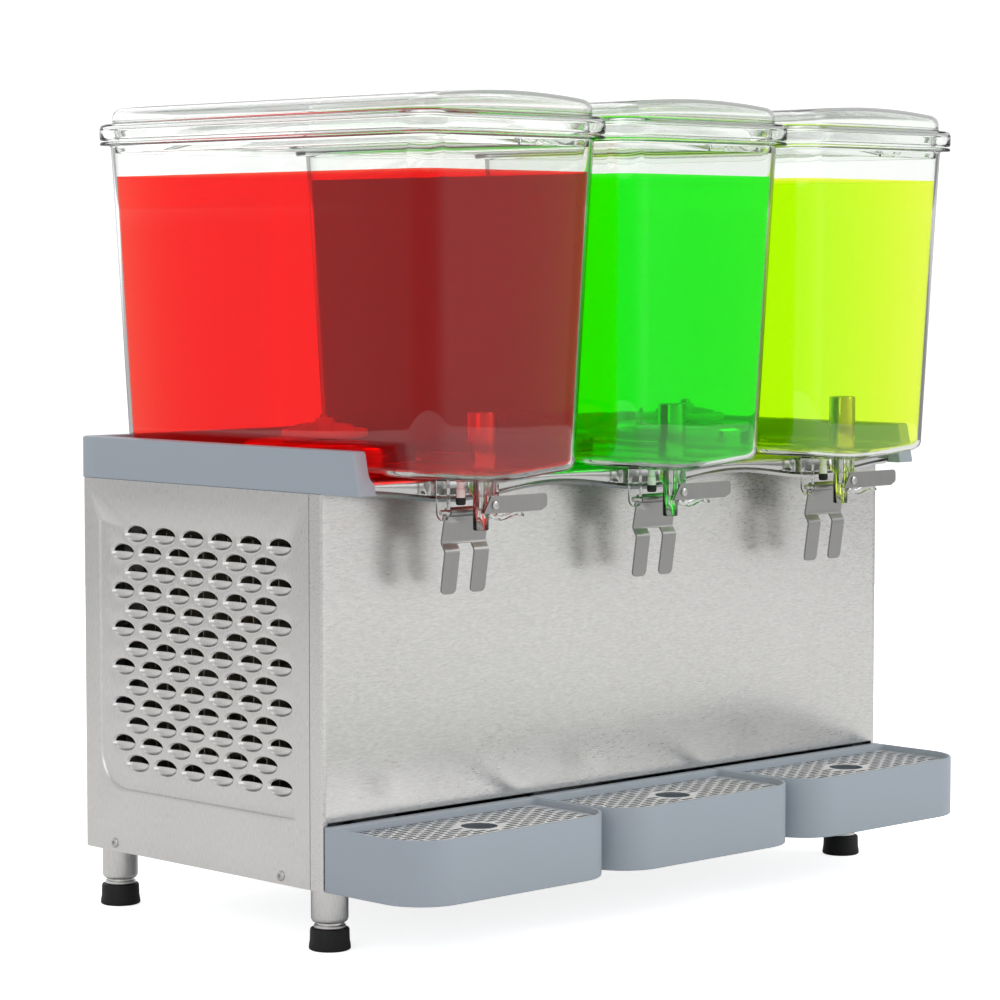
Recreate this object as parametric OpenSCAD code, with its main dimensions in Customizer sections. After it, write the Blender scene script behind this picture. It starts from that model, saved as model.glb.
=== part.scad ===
// Counter-top cold drink dispenser with three lift-off bowls, magnetic agitators,
// push-lever taps and three drip trays on a refrigerated stainless cabinet.
// Millimetres. The origin is the centre of the footprint on the counter.
// +Z is up and the taps face -Y.

/* [Cabinet] */
// Width over the two side panels
cabinet_w = 620; // [612:1:626]
// Height of the counter gap under the cabinet
cabinet_z = 46.6; // [44:0.2:50]
// Height of the top edge of the panels above the counter
cabinet_top = 334; // [330:1:336]
// Front face of the front panel, behind the middle of the footprint
cabinet_front_y = -93; // [-95:1:-91]
// Depth from the front face to the rear face
cabinet_d = 278; // [274:1:280]
// Sheet steel thickness
sheet = 1.5; // [1.2:0.1:1.8]
// Height of the lower edge of the front face, above the drip trays
front_low_z = 99; // [97:1:102]
// Length of the front panel's return along each side
front_return = 13; // [10:1:16]

/* [Louvres] */
// Width of one louvre mouth
louvre_w = 24; // [22:0.5:27]
// Height of one louvre mouth
louvre_h = 6; // [5:0.5:7.5]
// Distance between louvres along a row
louvre_pitch_y = 33.45; // [32:0.05:36]
// Distance between two neighbouring rows
louvre_pitch_z = 14.68; // [14:0.01:16]
// Number of rows
louvre_rows = 13; // [9:2:13]

/* [Deck] */
// Height of the moulded cover above the panels
cover_h = 32; // [28:1:34]
// Thickness of the cover's side rim at its top
rim_top_t = 13; // [11:0.5:15]
// Thickness of the cover's side rim at the deck
rim_foot_t = 17.5; // [16:0.5:19]
// How far the cover's floor and rims reach in front of the cabinet
cover_overhang = 39.8; // [38:0.2:41]
// How far the steel deck's rolled nose reaches in front of the cabinet
nose_overhang = 28; // [24:1:30]

/* [Bowls] */
// Distance between neighbouring bowls
bowl_pitch = 201.5; // [199:0.5:203]
// Width of a bowl across its floor
bowl_floor_w = 159.8; // [156:0.2:162]
// Depth of a bowl across its floor, front to back
bowl_floor_d = 349.5; // [346:0.5:351]
// Height of a bowl from its underside to its lip
bowl_h = 245; // [235:1:250]
// Widening of each wall for each millimetre of height
bowl_draft = 0.04; // [0.03:0.005:0.042]
// Wall thickness of a bowl
bowl_wall = 3; // [2.5:0.1:3.2]
// Outer radius of a bowl's upright corners
bowl_corner_r = 20; // [16:1:24]
// Width of the lip around a bowl's mouth
lip_w = 8.5; // [7:0.5:8.5]

/* [Lids] */
// Height of a lid above the bowl's lip, at its crown
lid_h = 30.6; // [28:0.2:32]
// Rise of the crown above the lid's side edges
lid_crown = 5.4; // [4:0.2:6]
// Depth of the skirt that drops inside the bowl
lid_skirt = 8.2; // [6:0.2:10]

/* [Taps] */
// Distance of the outlet in front of the middle of the footprint
tap_y = -145; // [-147:1:-143]
// Diameter of the steel valve weight over the outlet
valve_d = 21; // [19:0.5:23]
// Height of the steel valve weight
valve_h = 42; // [38:1:46]
// Outer diameter of the spout tube
spout_d = 11.6; // [10.6:0.2:12.4]
// Height of the spout's lower end above the counter
spout_z = 305.7; // [304:0.1:308]
// Width of the cup lever's plate
lever_w = 44; // [42:1:45]
// Width of one prong of the cup lever
prong_w = 14.6; // [13:0.2:15.4]

/* [Drip trays] */
// Height of a drip tray
tray_h = 47.6; // [44:0.2:49]
// Distance of the trays' front in front of the middle of the footprint
tray_front_y = -194.7; // [-197:0.1:-192]
// Gap between neighbouring trays
tray_gap = 1.5; // [1:0.1:2.5]
// Radius of a tray's front corners
tray_corner_r = 37; // [30:1:42]

/* [Legs] */
// Diameter of a leg tube
leg_d = 27.5; // [25:0.5:30]
// Inset of the legs from the cabinet's sides
leg_inset_x = 22.3; // [20:0.1:26]
// Height of a rubber boot
boot_h = 16; // [14:0.5:18]

/* [Drive] */
// Outer diameter of an evaporator cup
evaporator_d = 126; // [120:1:126]
// Distance of the evaporators behind the middle of the footprint
evaporator_y = 25; // [20:1:30]
// Outer diameter of an agitator wheel
wheel_d = 66; // [60:1:72]

/* [Hidden] */

$fn = 64;
// Overlap used where a cutter passes through a face
eps = 0.5;
// Running clearance on radius
run = 0.08;

// Cabinet
cabinet_rear_y = cabinet_front_y + cabinet_d;
cabinet_mid_y = (cabinet_front_y + cabinet_rear_y) / 2;
wall_x = cabinet_w / 2;
bar = 16;
bar_gap = 0.5;
pan_flange = 14;
side_front_y = cabinet_front_y + front_return + bar_gap;
louvre_top_z = 293.7;
louvre_first_y = 121;
louvre_cols = 6;
screw_d = 4;
screw_head_d = 8;
screw_head_h = 1.5;

// Deck
cover_top = cabinet_top + cover_h;
cover_w = cabinet_w - 1;
cover_rear_y = 191;
cover_rear_t = 10;
cover_floor_t = 7;
cover_front_y = cabinet_front_y - cover_overhang;
cover_front_slope = 6.4;
deck_z = cabinet_top + cover_floor_t;
deck_t = 2;
nose_y = cabinet_front_y - nose_overhang;
nose_drop = 1.5;
nose_wave = 4;
nose_wave_steps = 16;
gasket_t = 4;

// Bowls
bowl_z = deck_z + deck_t + gasket_t;
bowl_cy = 1.45;
bowl_top = bowl_z + bowl_h;
bowl_foot_r = 7;
lip_t = 2.5;
gasket_d = evaporator_d + 14;
bowl_hole_d = evaporator_d + 6;
pad_t = 5;
outlet_d = 9;

// Lids
lid_t = 2.2;
bead_w = 8.65;
bead_h = 13.7;
lid_step = -1.3;
skirt_gap = 0.6;
lid_chord = bowl_floor_w / 2 + bowl_draft * bowl_h + lid_step;
lid_arch_r = (lid_chord * lid_chord + lid_crown * lid_crown) / (2 * lid_crown);

// Taps
hinge_y = -131;
hinge_z = 319;
pin_d = 4;
ear_t = 3.5;
ear_w = 12;
lever_t = 1.5;
lever_eye_d = 7.4;
plate_foot = [-126.9, 296.5];
prong_head = [-131, 290.5];
prong_foot = [-126.2, 258.6];
valve_stem_d = 6;
valve_stem_z = 322;
hand_y = tap_y - spout_d / 2 - 1.6;
hand_pivot_x = 6;
hand_pivot_z = 324;
buffer_x = -14.4;
buffer_y = -139;

// Drip trays
tray_pitch = cabinet_w / 3;
tray_w = tray_pitch - tray_gap;
tray_d = cabinet_front_y - 1 - tray_front_y;
tray_wall = 2.5;
tray_rear_wall = 11;
grate_t = 1.5;
grate_drop = 4;
grate_ledge = 3;
grate_gap = 0.6;
slot_w = 12;
slot_h = 3;
slot_pitch_x = 15.4;
slot_pitch_y = 10.8;
slot_cols = 12;
slot_rows = 7;
drain_d = 27;
bracket_t = 3;
bracket_w = 18;

// Legs
leg_x = wall_x - leg_inset_x;
leg_front_y = -75.5;
leg_rear_y = 172.3;
neck_d = 20;
boot_floor = 6;
boot_flare = 1;

// Drive and refrigeration
cup_t = 2;
cup_top = deck_z + deck_t + 23;
pin_top = cup_top + 19;
motor_d = 64;
motor_h = 44;
motor_bar_t = 3;
rotor_d = 80;
rotor_h = 10;
shaft_d = 8;
fan_x = -222;
fan_y = 45;
fan_z = 185;
fan_d = 176;
fan_depth = 26;
condenser_x = -288;
condenser_t = 26;
condenser_fins = 14;
condenser_tubes = 5;
compressor_x = -30;
compressor_y = 60;
compressor_d = 122;
compressor_h = 150;
line_d = 8;

// Rear controls
control_z = 292;
control_w = 190;
control_h = 36;
control_t = 4;
switch_w = 20;
switch_h = 13;
switch_x = [-70, -36, -2];
switch_axis_y = cabinet_rear_y + 2.4;
switch_tilt = 8;
knob_x = 62;
knob_d = 26;
knob_shaft_d = 6;
gland_x = 250;
gland_z = 80;
gland_bore_d = 9;

steel = "Gainsboro";
grey = "LightSlateGray";
clear = [0.85, 0.92, 0.95, 0.35];

function station_x(i) = (i - 2) * bowl_pitch;
function tray_x(i) = (i - 2) * tray_pitch;
function bowl_w_at(z) = bowl_floor_w + 2 * bowl_draft * (z - bowl_z);
function bowl_d_at(z) = bowl_floor_d + 2 * bowl_draft * (z - bowl_z);
function nose_low(x) = cabinet_top - nose_drop - nose_wave * cos(360 * x / bowl_pitch);

// ---- Shared shapes ----

// Rounded rectangle about the origin, made of true arcs
module rounded_rect(w, d, r) {
    square([w - 2 * r, d], center = true);
    square([w, d - 2 * r], center = true);
    for (sx = [-1, 1], sy = [-1, 1])
        translate([sx * (w / 2 - r), sy * (d / 2 - r)]) circle(r);
}

// Outline of a bowl at one height, grown by a margin
module bowl_outline(z, grow) {
    translate([0, bowl_cy])
        rounded_rect(bowl_w_at(z) + 2 * grow, bowl_d_at(z) + 2 * grow, bowl_corner_r + grow);
}

// Ring that follows a bowl's outline at the height of its lip
module bowl_ring(z, h, outer, inner) {
    translate([0, 0, z]) linear_extrude(h)
        difference() {
            bowl_outline(bowl_top, outer);
            bowl_outline(bowl_top, inner);
        }
}

// Tapered block with a bowl's outline, between two heights
module bowl_form(z_low, z_high, grow) {
    hull() {
        translate([0, 0, z_low]) linear_extrude(0.01)
            bowl_outline(z_low, grow - bowl_foot_r / 2, $fn = 32);
        translate([0, 0, z_low + bowl_foot_r]) linear_extrude(0.01)
            bowl_outline(z_low + bowl_foot_r, grow, $fn = 32);
        translate([0, 0, z_high]) linear_extrude(0.01)
            bowl_outline(z_high, grow, $fn = 32);
    }
}

// Profile drawn in the YZ plane and extruded across X
module across_x(w) {
    rotate([90, 0, 90]) linear_extrude(w, center = true) children();
}

// Profile drawn in the XZ plane and extruded towards -Y
module along_y(d) {
    rotate([90, 0, 0]) linear_extrude(d) children();
}

// Unit normal of the step from one point to another
function side_normal(a, b) = [a[1] - b[1], b[0] - a[0]] / norm(b - a);

// Point beside corner k of a path, where the edges of a bent strip meet
function mitre(path, k, half) =
    let (before = side_normal(path[max(k - 1, 0)], path[max(k, 1)]),
         after = side_normal(path[min(k, len(path) - 2)], path[min(k + 1, len(path) - 1)]))
    path[k] + half * (before + after) / (1 + before * after);

// Bent strip of sheet along a path
module strip(path, t) {
    last = len(path) - 1;
    polygon(concat([for (k = [0:last]) mitre(path, k, t / 2)],
                   [for (k = [last:-1:0]) mitre(path, k, -t / 2)]));
}

// Points of an arc from one angle to another
function arc(centre, r, from, to, steps = 8) =
    [for (k = [0:steps])
        let (a = from + (to - from) * k / steps) centre + r * [cos(a), sin(a)]];

// ---- Cabinet ----

module base_pan() {
    pan_w = cabinet_w - 2 * sheet - 2 * bar_gap;
    pan_d = cabinet_d - 2 * sheet - 2 * bar_gap;
    color("Silver")
        translate([0, cabinet_mid_y, cabinet_z])
            difference() {
                translate([-pan_w / 2, -pan_d / 2, 0]) cube([pan_w, pan_d, pan_flange]);
                translate([-pan_w / 2 + sheet, -pan_d / 2 + sheet, sheet])
                    cube([pan_w - 2 * sheet, pan_d - 2 * sheet, pan_flange]);
                for (p = side_screws())
                    translate([0, p[0] - cabinet_mid_y, p[1] - cabinet_z]) rotate([0, 90, 0])
                        cylinder(d = screw_d + 4 * run, h = cabinet_w, center = true);
            }
}

// Upright corner bars and the top rails that carry the deck
module frame_bars() {
    post_x = wall_x - sheet - bar_gap - 2 * sheet - bar;
    front_y = cabinet_front_y + 2 * sheet + bar_gap + 2 * sheet;
    rear_y = cabinet_rear_y - 2 * sheet - bar_gap - 2 * sheet - bar;
    post_z = cabinet_z + sheet;
    rail_z = cabinet_top - bar;
    joint = 0.2;
    color("DimGray") {
        for (sx = [0, 1], y = [front_y, rear_y])
            mirror([sx, 0, 0]) translate([post_x, y, post_z])
                cube([bar, bar, rail_z - joint - post_z]);
        for (y = [front_y, rear_y])
            translate([-post_x - bar, y, rail_z]) cube([2 * (post_x + bar), bar, bar]);
        for (sx = [0, 1])
            mirror([sx, 0, 0]) translate([post_x, front_y + bar + joint, rail_z])
                cube([bar, rear_y - front_y - bar - 2 * joint, bar]);
    }
}

// One louvre mouth: a circle segment that stands on a straight lower edge
module louvre_mouth() {
    arc_r = (louvre_w * louvre_w / 4 + louvre_h * louvre_h) / (2 * louvre_h);
    intersection() {
        translate([0, louvre_h - arc_r]) circle(arc_r, $fn = 96);
        translate([-louvre_w / 2, 0]) square([louvre_w, louvre_h]);
    }
}

// Sheet with staggered rows of louvres, drawn as the left side
module side_panel() {
    panel_d = cabinet_rear_y - side_front_y;
    translate([-wall_x + sheet / 2, 0, 0]) across_x(sheet)
        difference() {
            translate([side_front_y, cabinet_z]) square([panel_d, cabinet_top - cabinet_z]);
            for (row = [0:louvre_rows - 1], col = [0:louvre_cols - 1])
                translate([louvre_first_y + (row % 2) * louvre_pitch_y / 2
                           - col * louvre_pitch_y,
                           louvre_top_z - row * louvre_pitch_z])
                    louvre_mouth();
            for (p = side_screws())
                translate(p) circle(d = screw_d + 4 * run);
        }
}

function side_screws() = [[150, 53], [-47, 53]];
function rear_screws() = [for (x = [-290, 290], z = [70, 310]) [x, z]];

module left_side_panel() {
    color(steel) side_panel();
}

module right_side_panel() {
    color(steel) mirror([1, 0, 0]) side_panel();
}

// Front face with a full-height return on each side
module front_panel() {
    color(steel) {
        translate([-wall_x, cabinet_front_y, front_low_z])
            cube([cabinet_w, sheet, cabinet_top - front_low_z]);
        for (sx = [0, 1])
            mirror([sx, 0, 0]) translate([wall_x - sheet, cabinet_front_y, cabinet_z])
                cube([sheet, front_return, cabinet_top - cabinet_z]);
    }
}

module rear_panel() {
    color(steel)
        translate([0, cabinet_rear_y, 0]) along_y(sheet)
            difference() {
                translate([-wall_x + sheet, cabinet_z])
                    square([cabinet_w - 2 * sheet, cabinet_top - cabinet_z]);
                for (x = switch_x)
                    translate([x, control_z])
                        square([switch_w + 2, switch_h + 2], center = true);
                translate([knob_x, control_z]) circle(d = knob_shaft_d + 2 * run);
                translate([gland_x, gland_z]) circle(d = gland_bore_d + 7);
                for (p = rear_screws())
                    translate(p) circle(d = screw_d + 4 * run);
            }
}

module screw() {
    cylinder(d = screw_head_d, h = screw_head_h);
    translate([0, 0, -4]) cylinder(d = screw_d, h = 4);
}

module panel_screws() {
    color("Silver") {
        for (sx = [0, 1], p = side_screws())
            mirror([sx, 0, 0]) translate([wall_x, p[0], p[1]]) rotate([0, 90, 0]) screw();
        for (p = rear_screws())
            translate([p[0], cabinet_rear_y, p[1]]) rotate([-90, 0, 0]) screw();
    }
}

// Two shelf arms under the pan carry each tray
module tray_brackets() {
    arm_len = 110;
    arm_reach = 80;
    color("Silver")
        for (i = [1:3], s = [-1, 1])
            translate([tray_x(i) + s * tray_w / 4 - bracket_w / 2,
                       cabinet_front_y - arm_reach, cabinet_z - bracket_t])
                cube([bracket_w, arm_len, bracket_t]);
}

// ---- Legs ----

module at_legs() {
    for (x = [-leg_x, leg_x], y = [leg_front_y, leg_rear_y])
        translate([x, y, 0]) children();
}

module leg_tubes() {
    color(steel) at_legs()
        rotate_extrude()
            polygon([[0, boot_floor], [neck_d / 2, boot_floor], [neck_d / 2, boot_h],
                     [neck_d / 2 + 1, boot_h], [leg_d / 2, boot_h + 4],
                     [leg_d / 2, cabinet_z], [0, cabinet_z]]);
}

module leg_boots() {
    boot_r = leg_d / 2 + 0.8;
    color([0.1, 0.1, 0.1]) at_legs()
        rotate_extrude()
            polygon([[0, 0], [boot_r + boot_flare, 0], [boot_r + boot_flare, 5],
                     [boot_r, 9], [boot_r, boot_h], [neck_d / 2, boot_h],
                     [neck_d / 2, boot_floor], [0, boot_floor]]);
}

// ---- Deck ----

// Section of a side rim: upright outer face and a hollow curve down to the deck
module rim_section() {
    curve_r = rim_foot_t - rim_top_t;
    outer = cover_w / 2;
    difference() {
        translate([outer - rim_foot_t, cabinet_top]) square([rim_foot_t, cover_h]);
        translate([outer - rim_foot_t - eps, deck_z + curve_r])
            square([curve_r + eps, cover_h]);
        translate([outer - rim_foot_t, deck_z + curve_r]) circle(curve_r);
    }
}

// Moulded cover with side rims, a rear rim and openings for the evaporators
module deck_cover() {
    floor_front = cabinet_front_y - nose_overhang + 6;
    color(grey)
        difference() {
            union() {
                for (sx = [0, 1])
                    mirror([sx, 0, 0])
                        translate([0, cover_rear_y, 0])
                            along_y(cover_rear_y - cover_front_y) rim_section();
                translate([-cover_w / 2, cover_rear_y - cover_rear_t, cabinet_top])
                    cube([cover_w, cover_rear_t, cover_h]);
                translate([-cover_w / 2 + 1, floor_front, cabinet_top])
                    cube([cover_w - 2, cover_rear_y - floor_front - 1, cover_floor_t]);
            }
            across_x(cabinet_w + 2)
                polygon([[cover_front_y - eps, cabinet_top - eps],
                         [cover_front_y, cabinet_top],
                         [cover_front_y + cover_front_slope, cover_top],
                         [cover_front_y + cover_front_slope, cover_top + eps],
                         [cover_front_y - eps, cover_top + eps]]);
            for (i = [1:3])
                translate([station_x(i), evaporator_y, cabinet_top - eps])
                    cylinder(d = evaporator_d + 16, h = cover_floor_t + 2 * eps);
        }
}

// Steel deck sheet whose rolled nose hangs lower in front of each bowl
module deck_plate() {
    deck_w = cover_w - 2 * rim_foot_t - 1;
    deck_rear_y = cover_rear_y - cover_rear_t - 1;
    nose_step = deck_w / (3 * nose_wave_steps);
    color(steel) {
        difference() {
            translate([-deck_w / 2, nose_y + sheet, deck_z])
                cube([deck_w, deck_rear_y - nose_y - sheet, deck_t]);
            for (i = [1:3])
                translate([station_x(i), evaporator_y, deck_z - eps])
                    cylinder(d = evaporator_d + 2 * run, h = deck_t + 2 * eps);
        }
        translate([0, nose_y + sheet, 0]) along_y(sheet)
            polygon(concat(
                [[deck_w / 2, deck_z + deck_t], [-deck_w / 2, deck_z + deck_t]],
                [for (k = [0:3 * nose_wave_steps])
                    [-deck_w / 2 + k * nose_step, nose_low(-deck_w / 2 + k * nose_step)]]));
    }
}

// ---- Evaporators and agitators ----

// Domed steel cup with a flange below the deck and a pin for the wheel
module evaporators() {
    r = evaporator_d / 2;
    flange_r = r + 7;
    cup_low = deck_z - 3;
    color("Silver")
        for (i = [1:3])
            translate([station_x(i), evaporator_y, 0])
                rotate_extrude()
                    polygon([[r - cup_t, cup_low - 2], [r, cup_low - 2], [r, cup_low],
                             [flange_r, cup_low], [flange_r, deck_z], [r, deck_z],
                             [r, cup_top - 5], [r - 5, cup_top],
                             [shaft_d / 2 + 4, cup_top], [shaft_d / 2, cup_top + 0.5],
                             [shaft_d / 2, pin_top],
                             [0, pin_top], [0, cup_top - cup_t],
                             [r - 6, cup_top - cup_t], [r - cup_t, cup_top - 6]]);
}

module bowl_gaskets() {
    color("White")
        for (i = [1:3])
            translate([station_x(i), evaporator_y, deck_z + deck_t])
                difference() {
                    cylinder(d = gasket_d, h = gasket_t);
                    translate([0, 0, -eps]) cylinder(d = evaporator_d, h = gasket_t + 2 * eps);
                }
}

// Motor can on a bar that spans the hole under the evaporator
module agitator_motors() {
    bar_len = evaporator_d + 40;
    motor_top = cabinet_top - motor_bar_t;
    color("DimGray")
        for (i = [1:3])
            translate([station_x(i), evaporator_y, 0])
                difference() {
                    union() {
                        translate([0, 0, motor_top - motor_h]) cylinder(d = motor_d, h = motor_h);
                        translate([-bar_len / 2, -15, motor_top]) cube([bar_len, 30, motor_bar_t]);
                    }
                    translate([0, 0, motor_top - 20])
                        cylinder(d = shaft_d + 2 * run, h = 20 + motor_bar_t + eps);
                }
}

// Magnet disc on the motor shaft, turning inside the evaporator cup
module drive_rotor(i) {
    disc_z = cup_top - cup_t - 3 - rotor_h;
    shaft_z = cabinet_top - motor_bar_t - 18;
    color("SlateGray")
        translate([station_x(i), evaporator_y, 0]) {
            translate([0, 0, disc_z])
                difference() {
                    cylinder(d = rotor_d, h = rotor_h);
                    for (a = [0:60:300])
                        rotate(a) translate([rotor_d / 3, 0, -eps])
                            cylinder(d = 12, h = 3 + eps);
                }
            translate([0, 0, shaft_z]) cylinder(d = shaft_d, h = disc_z - shaft_z);
        }
}

// Paddle wheel that the magnet disc drives through the cup
module agitator_wheel(i) {
    wheel_z = cup_top + 1.5;
    hub_d = 18;
    ring_t = 3;
    ring_h = 6;
    paddle_h = 11;
    color("WhiteSmoke")
        translate([station_x(i), evaporator_y, wheel_z])
            difference() {
                union() {
                    cylinder(d = hub_d, h = pin_top - wheel_z - 3);
                    difference() {
                        cylinder(d = wheel_d, h = ring_h);
                        translate([0, 0, -eps])
                            cylinder(d = wheel_d - 2 * ring_t, h = ring_h + 2 * eps);
                    }
                    for (a = [0, 90])
                        rotate(a) translate([-wheel_d / 2 + ring_t / 2, -1.5, 0])
                            cube([wheel_d - ring_t, 3, paddle_h]);
                }
                translate([0, 0, -eps])
                    cylinder(d = shaft_d + 2 * run, h = pin_top - wheel_z);
            }
}

// ---- Refrigeration ----

module compressor() {
    foot_w = 150;
    foot_d = 110;
    foot_z = cabinet_z + sheet;
    color([0.12, 0.12, 0.13])
        translate([compressor_x, compressor_y, foot_z]) {
            translate([-foot_w / 2, -foot_d / 2, 0]) cube([foot_w, foot_d, 3]);
            translate([0, 0, 3]) rotate_extrude()
                polygon([[0, 0], [compressor_d / 2 - 12, 0], [compressor_d / 2, 14],
                         [compressor_d / 2, compressor_h - 34],
                         [compressor_d / 2 - 12, compressor_h - 12],
                         [compressor_d / 2 - 34, compressor_h], [0, compressor_h]]);
        }
}

// Fins on cross tubes, standing behind the left louvres
module condenser() {
    low_z = cabinet_z + sheet + pan_flange;
    fin_h = 232;
    first_y = fan_y - 95;
    fin_step = 190 / (condenser_fins - 1);
    tube_step = fin_h / condenser_tubes;
    color("Goldenrod") {
        for (k = [0:condenser_fins - 1])
            translate([condenser_x, first_y + k * fin_step, low_z])
                cube([condenser_t, 1, fin_h]);
        for (k = [0:condenser_tubes - 1])
            translate([condenser_x + condenser_t / 2, first_y - 6, low_z + (k + 0.5) * tube_step])
                rotate([-90, 0, 0]) cylinder(d = line_d, h = 203);
        translate([condenser_x, first_y - 6, cabinet_z + sheet])
            cube([condenser_t, 203, pan_flange]);
    }
}

// Square plate with a ring around the fan blade
module fan_shroud() {
    plate = fan_d + 24;
    color("DimGray")
        translate([fan_x - fan_depth, fan_y, fan_z]) rotate([0, 90, 0])
            difference() {
                union() {
                    translate([-plate / 2, -plate / 2, 0]) cube([plate, plate, 2]);
                    cylinder(d = fan_d + 10, h = fan_depth);
                    translate([plate / 2 - eps, -30, 0])
                        cube([fan_z - cabinet_z - sheet - plate / 2 + eps, 60, 2]);
                }
                translate([0, 0, -eps]) cylinder(d = fan_d + 5, h = fan_depth + 2 * eps);
            }
}

// Motor on a bar across the back of the shroud
module fan_motor() {
    body_x = fan_x + 6;
    color([0.15, 0.15, 0.16])
        difference() {
            union() {
                translate([body_x, fan_y, fan_z]) rotate([0, 90, 0]) cylinder(d = 66, h = 50);
                translate([fan_x, fan_y - fan_d / 2 - 4, fan_z - 10]) cube([6, fan_d + 8, 20]);
            }
            translate([fan_x - eps, fan_y, fan_z]) rotate([0, 90, 0])
                cylinder(d = shaft_d + 2 * run, h = 22);
        }
}

module fan_blade() {
    hub_d = 44;
    blades = 5;
    color("Silver")
        translate([fan_x - fan_depth + 6, fan_y, fan_z]) rotate([0, 90, 0]) {
            cylinder(d = hub_d, h = 14);
            cylinder(d = shaft_d, h = fan_depth + 6);
            for (k = [0:blades - 1])
                rotate(k * 360 / blades) translate([hub_d / 2 - 2, 0, 7]) rotate([32, 0, 0])
                    translate([0, -20, -0.8]) cube([fan_d / 2 - hub_d / 2 - 2, 40, 1.6]);
        }
}

// Suction manifold with a riser to each evaporator and a drop to the compressor
module refrigerant_lines() {
    pipe_y = evaporator_y + evaporator_d / 2 - cup_t / 2;
    pipe_z = cabinet_top - 18;
    drop_x = compressor_x + 70;
    drop_z = cabinet_z + 70;
    riser_top = deck_z - 5;
    color("Peru") {
        translate([station_x(1), pipe_y, pipe_z]) rotate([0, 90, 0])
            cylinder(d = line_d, h = 2 * bowl_pitch);
        for (i = [1:3])
            translate([station_x(i), pipe_y, pipe_z]) {
                sphere(d = line_d);
                cylinder(d = line_d / 2, h = riser_top - pipe_z);
            }
        translate([drop_x, pipe_y, drop_z]) cylinder(d = line_d, h = pipe_z - drop_z);
        translate([drop_x, pipe_y, drop_z]) sphere(d = line_d);
    }
}

// ---- Rear controls ----

module control_plate() {
    mid_x = (switch_x[0] + knob_x) / 2;
    color([0.12, 0.12, 0.12])
        translate([0, cabinet_rear_y + control_t, 0]) along_y(control_t)
            difference() {
                translate([mid_x, control_z]) rounded_rect(control_w, control_h, 4);
                for (x = switch_x)
                    translate([x, control_z])
                        square([switch_w + 1, switch_h + 1], center = true);
                translate([knob_x, control_z]) circle(d = knob_shaft_d + 2 * run);
            }
}

// Rocker on two trunnions with a shallow V face, resting at the off end of its travel
module rocker(k) {
    back = -4;
    face = 4.1;
    dip = 1.6;
    trunnion_d = 3;
    trunnion_reach = 0.3;
    color([0.2, 0.2, 0.2])
        translate([switch_x[k], switch_axis_y, control_z]) rotate([-switch_tilt, 0, 0]) {
            across_x(switch_w)
                polygon([[back, -switch_h / 2], [back, switch_h / 2], [face, switch_h / 2],
                         [face - dip, 0], [face, -switch_h / 2]]);
            across_x(switch_w + 2 * trunnion_reach) circle(d = trunnion_d);
        }
}

module power_switch() {
    rocker(0);
}

module cooling_switch() {
    rocker(1);
}

module stirring_switch() {
    rocker(2);
}

module thermostat_knob() {
    front = cabinet_rear_y + control_t + 0.3;
    color([0.2, 0.2, 0.2])
        translate([knob_x, front, control_z]) rotate([-90, 0, 0]) {
            cylinder(d = knob_d, h = 2);
            cylinder(d = knob_d - 6, h = 5);
            translate([0, 0, -14]) cylinder(d = knob_shaft_d, h = 14);
        }
}

// Bush with a through bore for the mains lead
module cord_gland() {
    color([0.1, 0.1, 0.1])
        translate([gland_x, cabinet_rear_y, gland_z]) rotate([-90, 0, 0])
            difference() {
                union() {
                    cylinder(d = gland_bore_d + 13, h = 6);
                    translate([0, 0, -8]) cylinder(d = gland_bore_d + 7, h = 8);
                }
                translate([0, 0, -8 - eps]) cylinder(d = gland_bore_d, h = 14 + 2 * eps);
            }
}

// ---- Bowls and lids ----

// Clear pad, spout, lever ears and lever boss moulded under the front of the bowl
module tap_body() {
    ear_x = lever_w / 2 + 0.8;
    pad_z = bowl_z - pad_t;
    translate([0, tap_y, pad_z]) cylinder(d = 46, h = pad_t + 1);
    translate([-ear_x - ear_t, hinge_y - ear_w / 2, pad_z])
        cube([2 * (ear_x + ear_t), ear_w, pad_t + 1]);
    translate([0, tap_y, spout_z]) cylinder(d = spout_d, h = pad_z - spout_z + 1);
    translate([0, tap_y, pad_z - 10]) cylinder(d = spout_d + 7, h = 11);
    for (sx = [0, 1])
        mirror([sx, 0, 0]) translate([ear_x, hinge_y - ear_w / 2, hinge_z - 6])
            cube([ear_t, ear_w, pad_z - hinge_z + 7]);
    translate([hand_pivot_x - 5, hand_y + 0.3, hand_pivot_z - 5])
        cube([8, tap_y - hand_y, pad_z - hand_pivot_z + 6]);
    translate([buffer_x, buffer_y, pad_z - 2]) cylinder(d = 11, h = 3);
}

// Upright bores and pin bores of the tap
module tap_bores() {
    ear_span = lever_w + 20;
    translate([0, tap_y, spout_z - eps]) cylinder(d = outlet_d - 1, h = bowl_z);
    translate([-ear_span / 2, hinge_y, hinge_z]) rotate([0, 90, 0])
        cylinder(d = pin_d + 2 * run, h = ear_span);
    translate([hand_pivot_x, hand_y - eps, hand_pivot_z]) rotate([-90, 0, 0])
        cylinder(d = pin_d, h = 5 + eps);
    translate([buffer_x, buffer_y, bowl_z - pad_t - 2 - eps]) cylinder(d = 6.4, h = 5 + eps);
}

module bowl(i) {
    color(clear)
        translate([station_x(i), 0, 0])
            difference() {
                union() {
                    difference() {
                        union() {
                            bowl_form(bowl_z, bowl_top - 1, 0);
                            bowl_ring(bowl_top - lip_t, lip_t, lip_w, -bowl_wall);
                        }
                        bowl_form(bowl_z + bowl_wall, bowl_top + 1, -bowl_wall);
                    }
                    tap_body();
                }
                translate([0, evaporator_y, bowl_z - eps])
                    cylinder(d = bowl_hole_d, h = bowl_wall + 2 * eps);
                tap_bores();
            }
}

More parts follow.
